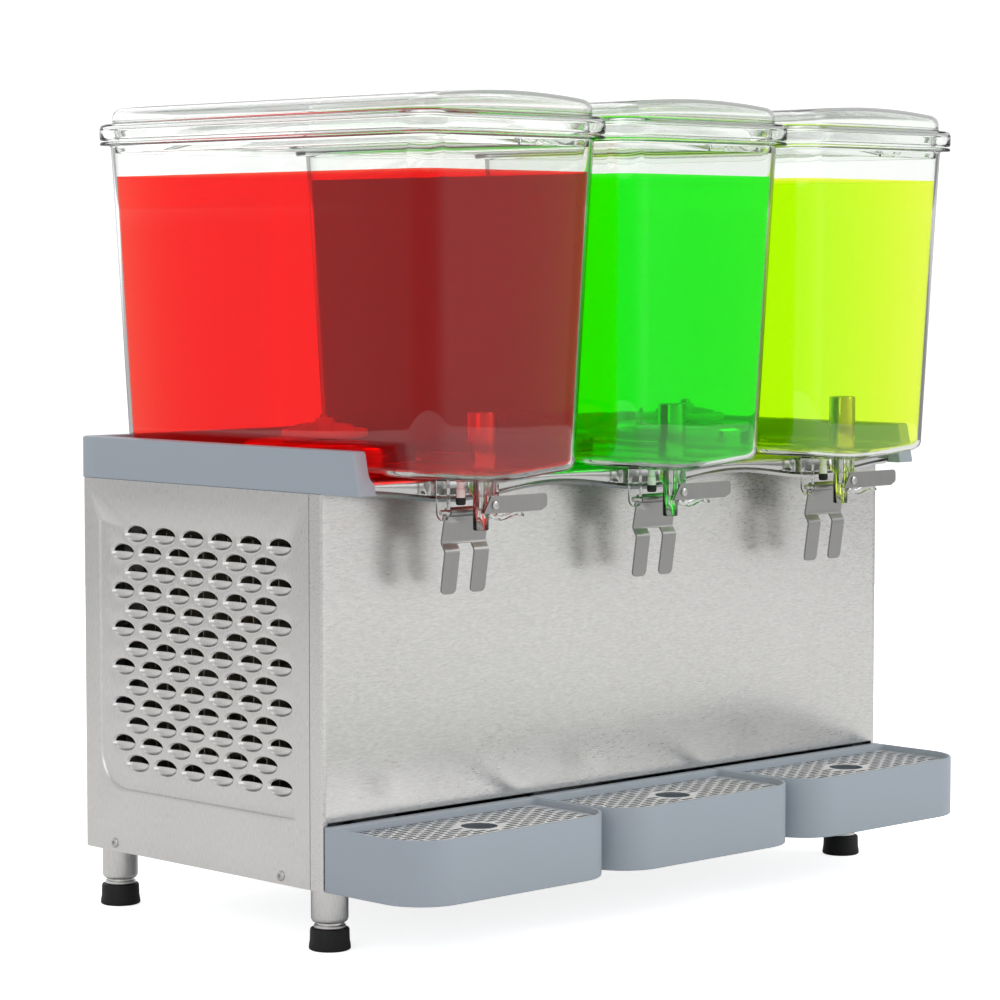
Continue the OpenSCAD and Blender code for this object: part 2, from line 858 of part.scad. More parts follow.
// Lid with an inner skirt, a bead over the bowl's lip and an arched crown
module lid(i) {
    skirt_out = -bowl_wall - skirt_gap;
    skirt_z = bowl_top - lid_skirt;
    web_z = bowl_top + bead_h - lid_t;
    crown_z = bowl_top + lid_h;
    arch_z = crown_z - lid_arch_r;
    color(clear)
        translate([station_x(i), 0, 0]) {
            bowl_ring(skirt_z, web_z + lid_t - skirt_z, skirt_out, skirt_out - lid_t);
            bowl_ring(web_z, lid_t, bead_w, skirt_out - lid_t);
            bowl_ring(bowl_top, web_z - bowl_top + lid_t, bead_w, bead_w - lid_t);
            difference() {
                lid_crown_block(web_z, lid_step, arch_z, lid_arch_r);
                lid_crown_block(web_z - eps, lid_step - lid_t, arch_z, lid_arch_r - lid_t);
            }
        }
}

// Block under the crown's arch, with the bowl's outline
module lid_crown_block(z, grow, arch_z, arch_r) {
    intersection() {
        translate([0, 0, z]) linear_extrude(lid_h) bowl_outline(bowl_top, grow);
        translate([0, bowl_cy + bowl_floor_d, arch_z]) rotate([90, 0, 0])
            cylinder(r = arch_r, h = 2 * bowl_floor_d, $fn = 720);
    }
}

// ---- Taps ----

// Steel weight that closes the outlet, with a stem down the spout
module valve_weight(i) {
    seat_z = bowl_z + bowl_wall;
    color(steel)
        translate([station_x(i), tap_y, 0]) {
            translate([0, 0, seat_z]) cylinder(d = valve_d, h = valve_h);
            translate([0, 0, valve_stem_z]) cylinder(d = valve_stem_d, h = seat_z - valve_stem_z);
        }
}

// Right half of the cup lever's outline seen from the front, from the prong gap up
function cup_lever_half() =
    let (half = lever_w / 2, bevel = 3, tip_r = 4, foot = prong_foot[1] - 1)
    concat([[half - prong_w, plate_foot[1]]],
           arc([half - prong_w + tip_r, foot + tip_r], tip_r, 180, 270),
           arc([half - tip_r, foot + tip_r], tip_r, 270, 360),
           [[half, hinge_z - 5], [half - bevel, hinge_z - 2],
            [half - bevel, hinge_z + lever_eye_d]]);

module cup_lever_outline() {
    right = cup_lever_half();
    polygon(concat(right, [for (k = [len(right) - 1:-1:0]) [-right[k][0], right[k][1]]]));
}

// Bent sheet lever that a glass pushes back, with a rolled eye on its pin
module cup_lever(i) {
    color(steel)
        translate([station_x(i), 0, 0])
            difference() {
                intersection() {
                    union() {
                        across_x(lever_w + 2)
                            strip([[hinge_y, hinge_z], plate_foot, prong_head, prong_foot], lever_t);
                        translate([-lever_w, hinge_y, hinge_z]) rotate([0, 90, 0])
                            cylinder(d = lever_eye_d, h = 2 * lever_w);
                    }
                    translate([0, hinge_y + 20, 0]) along_y(40) cup_lever_outline();
                }
                translate([-lever_w, hinge_y, hinge_z]) rotate([0, 90, 0])
                    cylinder(d = pin_d + 2 * run, h = 2 * lever_w);
            }
}

// Flat handle on the front of the spout
module hand_lever(i) {
    low = 318;
    high = 330.6;
    root_x = -5.3;
    root_slope = 7.6;
    tip_x = 59.5;
    tip_r = 3;
    color(steel)
        translate([station_x(i), hand_y, 0]) along_y(lever_t)
            difference() {
                polygon(concat([[root_x, low], [root_x + root_slope, high]],
                               arc([tip_x - tip_r, high - tip_r], tip_r, 90, 0),
                               arc([tip_x - 2 * tip_r, low + tip_r], tip_r, 0, -90)));
                translate([hand_pivot_x, hand_pivot_z]) circle(d = pin_d + 2 * run);
            }
}

// Hinge pin of the cup lever and headed pivot of the hand lever
module tap_pins(i) {
    span = lever_w + 2 * (ear_t + 1.6);
    color("Silver")
        translate([station_x(i), 0, 0]) {
            translate([-span / 2, hinge_y, hinge_z]) rotate([0, 90, 0])
                cylinder(d = pin_d, h = span);
            translate([hand_pivot_x, hand_y + 5, hand_pivot_z]) rotate([90, 0, 0]) {
                cylinder(d = pin_d, h = 5 + lever_t + 1.5);
                translate([0, 0, 5 + lever_t + 0.3]) cylinder(d = 6.5, h = 1.2);
            }
        }
}

// Spring-loaded rod with a rubber tip that brings the cup lever back
module lever_buffer(i) {
    rod_top = bowl_z - pad_t + 3;
    tip_low = 324.4;
    tip_h = 5.4;
    color("White")
        translate([station_x(i) + buffer_x, buffer_y, 0]) {
            translate([0, 0, tip_low + tip_h]) cylinder(d = 6.4, h = rod_top - tip_low - tip_h);
            translate([0, 0, tip_low]) cylinder(d = 7.4, h = tip_h);
        }
}

// ---- Drip trays ----

// Outline with two large front corners; the front edge is at y = 0
module tray_outline(w, d, r) {
    translate([-w / 2, r]) square([w, d - r]);
    translate([-w / 2 + r, 0]) square([w - 2 * r, d]);
    for (s = [-1, 1])
        translate([s * (w / 2 - r), r]) circle(r);
}

module drip_tray(i) {
    ledge_z = tray_h - grate_drop - grate_t;
    inner_d = tray_d - tray_wall - tray_rear_wall;
    color(grey)
        translate([tray_x(i), tray_front_y, cabinet_z])
            difference() {
                linear_extrude(tray_h) tray_outline(tray_w, tray_d, tray_corner_r);
                translate([0, tray_wall, ledge_z]) linear_extrude(tray_h)
                    tray_outline(tray_w - 2 * tray_wall, inner_d, tray_corner_r - tray_wall);
                translate([0, tray_wall + grate_ledge, tray_wall]) linear_extrude(tray_h)
                    tray_outline(tray_w - 2 * (tray_wall + grate_ledge), inner_d - 2 * grate_ledge,
                                 tray_corner_r - tray_wall - grate_ledge);
            }
}

// Perforated plate with staggered slots and a round drain hole
module drip_grate(i) {
    inset = tray_wall + grate_gap;
    grate_w = tray_w - 2 * inset;
    grate_d = tray_d - tray_wall - tray_rear_wall - 2 * grate_gap;
    ledge_z = cabinet_z + tray_h - grate_drop - grate_t;
    first_x = -(slot_cols - 1) * slot_pitch_x / 2;
    first_y = grate_d / 2 - (slot_rows - 1) * slot_pitch_y / 2;
    color(steel)
        translate([tray_x(i), tray_front_y + inset, ledge_z]) linear_extrude(grate_t)
            difference() {
                tray_outline(grate_w, grate_d, tray_corner_r - inset);
                for (row = [0:slot_rows - 1], col = [0:slot_cols - 1 - row % 2])
                    if (norm([first_x + (col + (row % 2) / 2) * slot_pitch_x,
                              first_y + row * slot_pitch_y - grate_d / 2]) > drain_d / 2 + 8
                        && !(row == 0 && (col < 2 || col > slot_cols - 3)))
                        translate([first_x + (col + (row % 2) / 2) * slot_pitch_x,
                                   first_y + row * slot_pitch_y])
                            square([slot_w, slot_h], center = true);
                translate([0, grate_d / 2]) circle(d = drain_d);
            }
}

base_pan();
frame_bars();
left_side_panel();
right_side_panel();
front_panel();
rear_panel();
deck_cover();
deck_plate();
evaporators();
bowl_gaskets();
agitator_motors();
compressor();
condenser();
fan_shroud();
fan_motor();
fan_blade();
refrigerant_lines();
tray_brackets();
leg_tubes();
leg_boots();
panel_screws();
cord_gland();
control_plate();
thermostat_knob();
power_switch();
cooling_switch();
stirring_switch();
bowl(1);  // bowl_1
bowl(2);  // bowl_2
bowl(3);  // bowl_3
lid(1);  // lid_1
lid(2);  // lid_2
lid(3);  // lid_3
valve_weight(1);  // valve_weight_1
valve_weight(2);  // valve_weight_2
valve_weight(3);  // valve_weight_3
cup_lever(1);  // cup_lever_1
cup_lever(2);  // cup_lever_2
cup_lever(3);  // cup_lever_3
hand_lever(1);  // hand_lever_1
hand_lever(2);  // hand_lever_2
hand_lever(3);  // hand_lever_3
tap_pins(1);  // tap_pins_1
tap_pins(2);  // tap_pins_2
tap_pins(3);  // tap_pins_3
lever_buffer(1);  // lever_buffer_1
lever_buffer(2);  // lever_buffer_2
lever_buffer(3);  // lever_buffer_3
drive_rotor(1);  // drive_rotor_1
drive_rotor(2);  // drive_rotor_2
drive_rotor(3);  // drive_rotor_3
agitator_wheel(1);  // agitator_wheel_1
agitator_wheel(2);  // agitator_wheel_2
agitator_wheel(3);  // agitator_wheel_3
drip_tray(1);  // drip_tray_1
drip_tray(2);  // drip_tray_2
drip_tray(3);  // drip_tray_3
drip_grate(1);  // drip_grate_1
drip_grate(2);  // drip_grate_2
drip_grate(3);  // drip_grate_3
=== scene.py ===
import functools
import math

import bmesh
import bpy
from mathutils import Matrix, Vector
from mathutils.geometry import delaunay_2d_cdt


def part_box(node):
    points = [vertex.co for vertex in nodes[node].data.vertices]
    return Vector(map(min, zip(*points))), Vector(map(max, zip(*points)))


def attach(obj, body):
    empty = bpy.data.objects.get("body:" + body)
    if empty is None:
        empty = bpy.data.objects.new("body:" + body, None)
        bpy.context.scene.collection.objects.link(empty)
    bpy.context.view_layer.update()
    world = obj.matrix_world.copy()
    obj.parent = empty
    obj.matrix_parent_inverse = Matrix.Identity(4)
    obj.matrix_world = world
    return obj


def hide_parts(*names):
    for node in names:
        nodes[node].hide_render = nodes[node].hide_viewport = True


# Looks of the three-bowl cold drink dispenser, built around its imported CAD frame.
# Lengths are in millimetres until a piece is made.

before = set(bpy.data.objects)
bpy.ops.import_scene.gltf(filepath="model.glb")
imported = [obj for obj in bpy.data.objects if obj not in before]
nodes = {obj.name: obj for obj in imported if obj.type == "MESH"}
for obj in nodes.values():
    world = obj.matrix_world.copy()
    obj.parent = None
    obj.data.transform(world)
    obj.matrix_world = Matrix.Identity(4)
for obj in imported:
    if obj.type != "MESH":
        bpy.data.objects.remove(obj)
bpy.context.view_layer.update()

MM = 0.001
STATIONS = (1, 2, 3)


@functools.cache
def corners(node):
    """Lowest and highest corner of a CAD node, in millimetres."""
    low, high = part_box(node)
    return low / MM, high / MM


def middle(node, axis):
    low, high = corners(node)
    return (low[axis] + high[axis]) / 2


def station_x(i):
    return middle(f"bowl_{i}", 0)


# ---- Numbers shared with the CAD ----

PANEL_LOW, PANEL_HIGH = corners("left_side_panel")
WALL_X = -PANEL_LOW.x
CABINET_Z = PANEL_LOW.z
CABINET_TOP = PANEL_HIGH.z
FRONT_Y = corners("front_panel")[0].y
REAR_Y = PANEL_HIGH.y
SHEET = 1.5
FRONT_LOW_Z = 96.6
COVER_LOW, COVER_HIGH = corners("deck_cover")
COVER_TOP = COVER_HIGH.z
DECK_TOP = 345
NOSE_Y = corners("deck_plate")[0].y
BOWL_PITCH = station_x(2) - station_x(1)
BOWL_Z = 347
BOWL_TOP = corners("bowl_1")[1].z
BOWL_CY = middle("bowl_1", 1)
FLOOR_W, FLOOR_D = 159.8, 349.5
DRAFT = 0.04
CORNER_R = 20
WALL = 3
LIP = 8.5
DRINK_TOP = 565
EVAPORATOR_Y = 25
EVAPORATOR_R = 63
CUP_TOP = 366
TAP_Y = -145
HINGE_Y, HINGE_Z = -131, 319


# ---- Mesh tools ----

class Shape:
    """Points and faces gathered before they become one mesh."""

    def __init__(self):
        self.points = []
        self.faces = []

    def add(self, points, faces):
        base = len(self.points)
        self.points += [tuple(p) for p in points]
        self.faces += [tuple(base + k for k in face) for face in faces]
        return self

    def loft(self, rings, ends="", closed=True, wrap=False):
        """Skin over rings of equal length. ends names the capped ones: a the first, z the last."""
        n = len(rings[0])
        points = [p for ring in rings for p in ring]
        faces = []
        pairs = [(j, j + 1) for j in range(len(rings) - 1)]
        if wrap:
            pairs.append((len(rings) - 1, 0))
        for a, b in pairs:
            for k in range(n if closed else n - 1):
                m = (k + 1) % n
                faces.append((a * n + k, a * n + m, b * n + m, b * n + k))
        if "a" in ends:
            faces.append(tuple(range(n)))
        if "z" in ends:
            faces.append(tuple(range((len(rings) - 1) * n, len(rings) * n)))
        return self.add(points, faces)

    def revolve(self, profile, origin, axis="z", steps=48, wrap=False):
        """Turns (radius, height) points round an axis. Points on the axis close the form."""
        rings = []
        for radius, height in profile:
            ring = []
            for k in range(steps):
                a = 2 * math.pi * k / steps
                u, v = radius * math.cos(a), radius * math.sin(a)
                step = {"z": (u, v, height), "x": (height, u, v), "y": (u, height, v)}[axis]
                ring.append(tuple(origin[c] + step[c] for c in range(3)))
            rings.append(ring)
        return self.loft(rings, wrap=wrap)

    def box(self, low, high):
        points = [(x, y, z) for x in (low[0], high[0]) for y in (low[1], high[1])
                  for z in (low[2], high[2])]
        return self.add(points, [(0, 1, 3, 2), (4, 6, 7, 5), (0, 4, 5, 1),
                                 (2, 3, 7, 6), (0, 2, 6, 4), (1, 5, 7, 3)])

    def prism(self, outline, low, high, axis="z"):
        """Pushes a flat outline along an axis."""
        place = {"z": lambda p, h: (p[0], p[1], h), "y": lambda p, h: (p[0], h, p[1]),
                 "x": lambda p, h: (h, p[0], p[1])}[axis]
        return self.loft([[place(p, h) for p in outline] for h in (low, high)], ends="az")


def smooth_piece(mesh, angle):
    mesh.polygons.foreach_set("use_smooth", [True] * len(mesh.polygons))
    mesh.set_sharp_from_angle(angle=math.radians(angle))


def piece(name, shape, material, body, replaces=(), smooth=40, bevel=0.0,
          thick=0.0, facing=None):
    """Makes one mesh object of a shape and rides it on a body."""
    mesh = bpy.data.meshes.new(name)
    mesh.from_pydata([Vector(p) * MM for p in shape.points], [], shape.faces)
    mesh.validate()
    bm = bmesh.new()
    bm.from_mesh(mesh)
    bmesh.ops.remove_doubles(bm, verts=bm.verts, dist=0.002 * MM)
    bmesh.ops.dissolve_degenerate(bm, edges=bm.edges, dist=0.001 * MM)
    if facing is None:
        bmesh.ops.recalc_face_normals(bm, faces=bm.faces)
    else:
        side = Vector(facing)
        bm.normal_update()
        bmesh.ops.reverse_faces(bm, faces=[f for f in bm.faces if f.normal.dot(side) < 0])
    if bevel:
        bm.normal_update()
        sharp = [e for e in bm.edges
                 if len(e.link_faces) == 2 and e.calc_face_angle(0) > math.radians(28)]
        bmesh.ops.bevel(bm, geom=sharp, offset=bevel * MM, segments=2, profile=0.5,
                        affect="EDGES", clamp_overlap=True)
    bm.to_mesh(mesh)
    bm.free()
    thing = bpy.data.objects.new(name, mesh)
    bpy.context.scene.collection.objects.link(thing)
    if thick:
        wall = thing.modifiers.new("wall", "SOLIDIFY")
        wall.thickness = thick * MM
        wall.offset = -1
        wall.use_even_offset = True
        bpy.context.view_layer.update()
        done = bpy.data.meshes.new_from_object(
            thing.evaluated_get(bpy.context.evaluated_depsgraph_get()))
        thing.modifiers.clear()
        thing.data = done
        bpy.data.meshes.remove(mesh)
        done.name = name
    smooth_piece(thing.data, smooth)
    if bevel:
        even = thing.modifiers.new("even normals", "WEIGHTED_NORMAL")
        even.keep_sharp = True
    thing.data.materials.clear()
    thing.data.materials.append(material)
    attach(thing, body)
    if replaces:
        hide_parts(*([replaces] if isinstance(replaces, str) else replaces))
    return thing


def rounded(corner_points, radii, steps=5):
    """Outline through corner points, each turned into an arc."""
    out = []
    count = len(corner_points)
    for k, (point, radius) in enumerate(zip(corner_points, radii)):
        p = Vector(point)
        a = (Vector(corner_points[k - 1]) - p).normalized()
        b = (Vector(corner_points[(k + 1) % count]) - p).normalized()
        if radius <= 0:
            out.append(tuple(p))
            continue
        half = a.angle(b) / 2
        start = p + a * radius / math.tan(half)
        centre = p + (a + b).normalized() * radius / math.sin(half)
        from_dir, to_dir = start - centre, p + b * radius / math.tan(half) - centre
        turn = math.atan2(from_dir.x * to_dir.y - from_dir.y * to_dir.x, from_dir.dot(to_dir))
        for s in range(steps + 1):
            t = turn * s / steps
            out.append((centre.x + from_dir.x * math.cos(t) - from_dir.y * math.sin(t),
                        centre.y + from_dir.x * math.sin(t) + from_dir.y * math.cos(t)))
    return out


def flat_faces(loops):
    """Triangles between an outer loop and the holes inside it, all flat."""
    points, edges = [], []
    for loop in loops:
        base = len(points)
        points += [Vector(p) for p in loop]
        edges += [(base + k, base + (k + 1) % len(loop)) for k in range(len(loop))]
    faces = [list(range(len(loops[0])))]
    out_points, _, tris, *_ = delaunay_2d_cdt(points, edges, faces, 1, 1e-5)
    holes = loops[1:]
    boxes = [(min(p[0] for p in h), max(p[0] for p in h),
              min(p[1] for p in h), max(p[1] for p in h)) for h in holes]

    def inside(point, loop):
        hit = False
        for k in range(len(loop)):
            (x1, y1), (x2, y2) = loop[k - 1], loop[k]
            if (y1 > point[1]) != (y2 > point[1]):
                if point[0] < (x2 - x1) * (point[1] - y1) / (y2 - y1) + x1:
                    hit = not hit
        return hit

    kept = []
    for tri in tris:
        mid = sum((out_points[k] for k in tri), Vector((0, 0))) / len(tri)
        for hole, (x1, x2, y1, y2) in zip(holes, boxes):
            if x1 < mid.x < x2 and y1 < mid.y < y2 and inside(mid, hole):
                break
        else:
            kept.append(tuple(tri))
    return [tuple(p) for p in out_points], kept


def smoothstep(low, high, value):
    t = min(max((value - low) / (high - low), 0), 1)
    return t * t * (3 - 2 * t)


# ---- Materials ----

class Graph:
    """Short hand for one material's nodes."""

    def __init__(self, name):
        self.mat = bpy.data.materials.new(name)
        self.mat.use_nodes = True
        self.tree = self.mat.node_tree
        self.tree.nodes.clear()
        self.out = self.tree.nodes.new("ShaderNodeOutputMaterial")

    def put(self, value, socket):
        if isinstance(value, bpy.types.Node):
            value = value.outputs[0]
        if isinstance(value, bpy.types.NodeSocket):
            self.tree.links.new(value, socket)
        else:
            socket.default_value = value

    def add(self, kind, settings=None, **sockets):
        node = self.tree.nodes.new("ShaderNode" + kind)
        for key, value in (settings or {}).items():
            setattr(node, key, value)
        for key, value in sockets.items():
            self.put(value, node.inputs[key.replace("_", " ")])
        return node

    def noise(self, scale, stretch=(1, 1, 1), detail=4, rough=0.55):
        where = self.add("TexCoord").outputs["Object"]
        spread = self.add("Mapping", Vector=where, Scale=stretch)
        return self.add("TexNoise", Vector=spread, Scale=scale, Detail=detail, Roughness=rough)

    def between(self, factor, low, high):
        """Map a 0-1 pattern to a range of numbers."""
        return self.add("MapRange", Value=factor, **{"To_Min": low, "To_Max": high})

    def blend(self, factor, a, b):
        mix = self.tree.nodes.new("ShaderNodeMix")
        mix.data_type = "RGBA"
        self.put(factor, mix.inputs[0])
        self.put(a, mix.inputs[6])
        self.put(b, mix.inputs[7])
        return mix.outputs[2]

    def bump(self, height, strength, distance):
        return self.add("Bump", Height=height, Strength=strength, Distance=distance)


def surface(name, colour, rough, metal=0.0, vary=0.08, rough_vary=0.06, scale=60,
            stretch=(1, 1, 1), bump=0.1, depth=0.0002, coat=0.0, blotch=0.05, specular=0.5):
    """Opaque finish with a fine pattern in colour, roughness and relief, and soft blotches."""
    g = Graph(name)
    fine = g.noise(scale, stretch)
    broad = g.noise(9, (1, 1, 1), detail=2)
    dark = tuple(c * (1 - vary) for c in colour) + (1,)
    light = tuple(min(c * (1 + vary), 1) for c in colour) + (1,)
    tone = g.blend(fine, dark, light)
    shade = g.between(broad, 1 - blotch, 1 + blotch)
    toned = g.add("VectorMath", {"operation": "SCALE"}, Scale=shade)
    g.put(tone, toned.inputs[0])
    mixed = g.add("Math", {"operation": "ADD"})
    g.put(g.between(fine, rough - rough_vary, rough + rough_vary), mixed.inputs[0])
    g.put(g.between(broad, -rough_vary / 2, rough_vary / 2), mixed.inputs[1])
    shader = g.add("BsdfPrincipled", Base_Color=toned, Metallic=metal, Roughness=mixed,
                   Normal=g.bump(fine, bump, depth))
    shader.inputs["Coat Weight"].default_value = coat
    shader.inputs["Specular IOR Level"].default_value = specular
    g.put(shader, g.out.inputs["Surface"])
    return g.mat


def clear(name, ior, ripple=0.0):
    """Clear moulding. Lamps shine through it."""
    g = Graph(name)
    wave = g.noise(35, (1, 1, 0.35), detail=2)
    glass = g.add("BsdfGlass", Color=(0.985, 0.99, 0.985, 1), Roughness=0.0, IOR=ior,
                  Normal=g.bump(wave, ripple, 0.0004))
    g.put(let_lamps_through(g, glass, (0.97, 0.98, 0.97, 1)), g.out.inputs["Surface"])
    return g.mat


def let_lamps_through(g, shader, tint):
    mix = g.tree.nodes.new("ShaderNodeMixShader")
    g.put(g.add("LightPath").outputs["Is Shadow Ray"], mix.inputs[0])
    g.put(shader, mix.inputs[1])
    g.put(g.add("BsdfTransparent", Color=tint), mix.inputs[2])
    return mix


def drink(name, tint, cloud, absorb, density):
    """Slightly cloudy drink that colours light a little at its skin and more with depth."""
    g = Graph(name)
    haze = g.noise(6, (1, 1, 0.6), detail=2)
    body = g.add("BsdfRefraction", Color=tuple(c ** 0.5 for c in tint) + (1,), Roughness=0.0,
                 IOR=1.0)
    pulp = g.add("BsdfDiffuse", Color=cloud + (1,))
    mix = g.tree.nodes.new("ShaderNodeMixShader")
    g.put(g.between(haze, 0.07, 0.10), mix.inputs[0])
    g.put(body, mix.inputs[1])
    g.put(pulp, mix.inputs[2])
    g.put(let_lamps_through(g, mix, tuple(c ** 0.5 for c in tint) + (1,)), g.out.inputs["Surface"])
    g.put(g.add("VolumeAbsorption", Color=absorb + (1,), Density=density), g.out.inputs["Volume"])
    return g.mat


GRAIN = 75
STEEL = (0.70, 0.69, 0.675)
brushed_side = surface("steel_brushed_upright", STEEL, 0.30, 1, vary=0.18, rough_vary=0.07,
                       scale=GRAIN, stretch=(12, 12, 2.5), bump=0.05, depth=0.00002)
brushed_front = surface("steel_brushed_across", STEEL, 0.30, 1, vary=0.26, rough_vary=0.08,
                        scale=GRAIN, stretch=(2.4, 12, 12), bump=0.04, depth=0.00002,
                        blotch=0.03)
polished = surface("steel_polished", (0.56, 0.56, 0.55), 0.12, 1, vary=0.04, rough_vary=0.04,
                   scale=80, stretch=(0.4, 6, 6), bump=0.05, depth=0.00005)
lever_steel = surface("steel_satin", (0.33, 0.325, 0.32), 0.34, 1, vary=0.08, rough_vary=0.06,
                      scale=90, stretch=(8, 8, 0.5), bump=0.10, depth=0.00005)
grate_steel = surface("steel_grate", (0.94, 0.935, 0.93), 0.24, 1, vary=0.06, rough_vary=0.06,
                      scale=70, stretch=(0.6, 6, 6), bump=0.08, depth=0.00005)
screw_steel = surface("steel_screws", (0.55, 0.54, 0.53), 0.28, 1, vary=0.08, scale=400, bump=0.1,
                      depth=0.00004)
zinc = surface("zinc_sheet", (0.48, 0.50, 0.52), 0.42, 1, vary=0.22, scale=45, bump=0.04,
               blotch=0.12)
painted = surface("frame_paint", (0.10, 0.11, 0.12), 0.48, 0, vary=0.12, scale=300, bump=0.12)
grey_plastic = surface("grey_moulding", (0.36, 0.405, 0.46), 0.42, 0, vary=0.035, rough_vary=0.05,
                       scale=520, bump=0.16, depth=0.00008, blotch=0.02, specular=0.4)
black_rubber = surface("black_rubber", (0.016, 0.016, 0.017), 0.55, 0, vary=0.3, scale=350,
                       bump=0.2, depth=0.00012, specular=0.25)
white_rubber = surface("white_rubber", (0.72, 0.72, 0.70), 0.6, 0, vary=0.05, scale=300, bump=0.12)
white_plastic = surface("white_moulding", (0.78, 0.78, 0.76), 0.32, 0, vary=0.03, scale=400,
                        bump=0.08)
black_plastic = surface("black_moulding", (0.022, 0.022, 0.024), 0.38, 0, vary=0.2, scale=600,
                        bump=0.22, depth=0.0001)
switch_plastic = surface("switch_moulding", (0.035, 0.036, 0.038), 0.22, 0, vary=0.1, scale=300,
                         bump=0.05, coat=0.3)
enamel = surface("compressor_enamel", (0.020, 0.020, 0.022), 0.25, 0, vary=0.1, scale=120,
                 bump=0.08, coat=0.4)
fins = surface("condenser_fins", (0.60, 0.56, 0.46), 0.38, 1, vary=0.12, scale=260,
               stretch=(1, 1, 8), bump=0.2)
fan_metal = surface("fan_metal", (0.56, 0.56, 0.57), 0.33, 1, vary=0.08, scale=140,
                    stretch=(3, 1, 1), bump=0.08)
copper = surface("copper_pipe", (0.72, 0.38, 0.24), 0.28, 1, vary=0.16, scale=110, bump=0.08,
                 blotch=0.15)
magnet = surface("magnet_disc", (0.20, 0.21, 0.23), 0.36, 1, vary=0.1, scale=200, bump=0.1)
clear_plastic = clear("clear_moulding", 1.42, ripple=0.02)
drinks = {
    1: drink("red_drink", (1.0, 0.10, 0.05), (0.95, 0.0, 0.0), (0.995, 0.02, 0.02), 26),
    2: drink("green_drink", (0.06, 1.0, 0.04), (0.0, 0.90, 0.0), (0.10, 0.995, 0.02), 18),
    3: drink("yellow_drink", (0.96, 1.0, 0.12), (0.60, 0.80, 0.0), (0.85, 0.998, 0.02), 18),
}

# ---- Camera, light and floor ----

scene = bpy.context.scene
camera_data = bpy.data.cameras.new("camera")
camera_data.lens = 121.76
camera_data.sensor_width = 36
camera_data.clip_start, camera_data.clip_end = 0.1, 60
camera = bpy.data.objects.new("camera", camera_data)
camera.location = (-1.89707, -1.91285, 0.50027)
camera.rotation_euler = (math.radians(90 - 4.03), 0, math.radians(-44.13))
scene.collection.objects.link(camera)
scene.camera = camera


def lamp(name, where, size, watts, aim=(0, 0, 0.3)):
    data = bpy.data.lights.new(name, "AREA")
    data.shape = "RECTANGLE"
    data.size, data.size_y = size
    data.energy = watts
    thing = bpy.data.objects.new(name, data)
    thing.location = where
    thing.rotation_euler = (Vector(aim) - Vector(where)).to_track_quat("-Z", "Y").to_euler()
    scene.collection.objects.link(thing)


lamp("key", (1.6, -2.3, 1.9), (1.6, 1.2), 16)
lamp("fill", (-2.9, -0.9, 1.5), (1.8, 1.8), 9)
lamp("top", (0.0, 0.4, 3.0), (2.2, 1.6), 9)
lamp("rim", (1.4, 2.4, 1.8), (1.6, 1.2), 4)

world = bpy.data.worlds.new("studio")
scene.world = world
world.use_nodes = True
sky = world.node_tree
sky.nodes.clear()


def sky_node(kind, inputs, **settings):
    """Adds a sky node. A socket among its inputs is linked, and anything else is a value."""
    node = sky.nodes.new("ShaderNode" + kind)
    for key, value in settings.items():
        setattr(node, key, value)
    for key, value in inputs.items():
        if isinstance(value, bpy.types.NodeSocket):
            sky.links.new(value, node.inputs[key])
        else:
            node.inputs[key].default_value = value
    return node.outputs[0] if node.outputs else node


def sky_ramp(source, stops):
    """Grey levels along one direction of the sky, from (place, level) stops."""
    colour = sky_node("ValToRGB", {"Fac": source})
    marks = colour.node.color_ramp.elements
    while len(marks) < len(stops):
        marks.new(0.5)
    for mark, (place, level) in zip(marks, stops):
        mark.position = place
        mark.color = (level, level * 1.002, level * 1.004, 1)
    return colour


# What surfaces reflect: bright to the front, dull on the left and far right, dark below.
direction = sky.nodes.new("ShaderNodeTexCoord").outputs["Generated"]
across = sky_node("VectorMath", {0: direction, 1: (0.5, 0.10, 0)}, operation="DOT_PRODUCT")
across = across.node.outputs["Value"]
walls = sky_ramp(sky_node("Math", {0: across, 1: 0.5}, operation="ADD"),
                 ((0.0, 0.45), (0.30, 0.50), (0.66, 0.78), (0.745, 0.88), (0.785, 0.80),
                  (0.80, 0.50), (0.86, 0.40)))
upright = sky_node("SeparateXYZ", {0: direction}).node.outputs["Z"]
heights = sky_ramp(sky_node("MapRange", {"Value": upright, "From Min": -1}),
                   ((0.0, 0.40), (0.482, 0.40), (0.486, 1.0), (0.61, 0.98), (0.78, 0.80),
                    (1.0, 0.72)))
both = sky_node("MixRGB", {"Fac": 1, "Color1": walls, "Color2": heights}, blend_type="MULTIPLY")
studio = sky_node("Background", {"Color": both, "Strength": 1.55})
# What is seen directly or through the clear parts: plain white.
white = sky_node("Background", {"Color": (1, 1, 1, 1), "Strength": 1.15})
ray = sky.nodes.new("ShaderNodeLightPath").outputs
turned = sky_node("Math", {0: ray["Glossy Depth"], 1: ray["Diffuse Depth"]}, operation="ADD")
straight = sky_node("Math", {0: turned, 1: 0.5}, operation="LESS_THAN")
sky_node("OutputWorld", {"Surface": sky_node("MixShader", {0: straight, 1: studio, 2: white})})

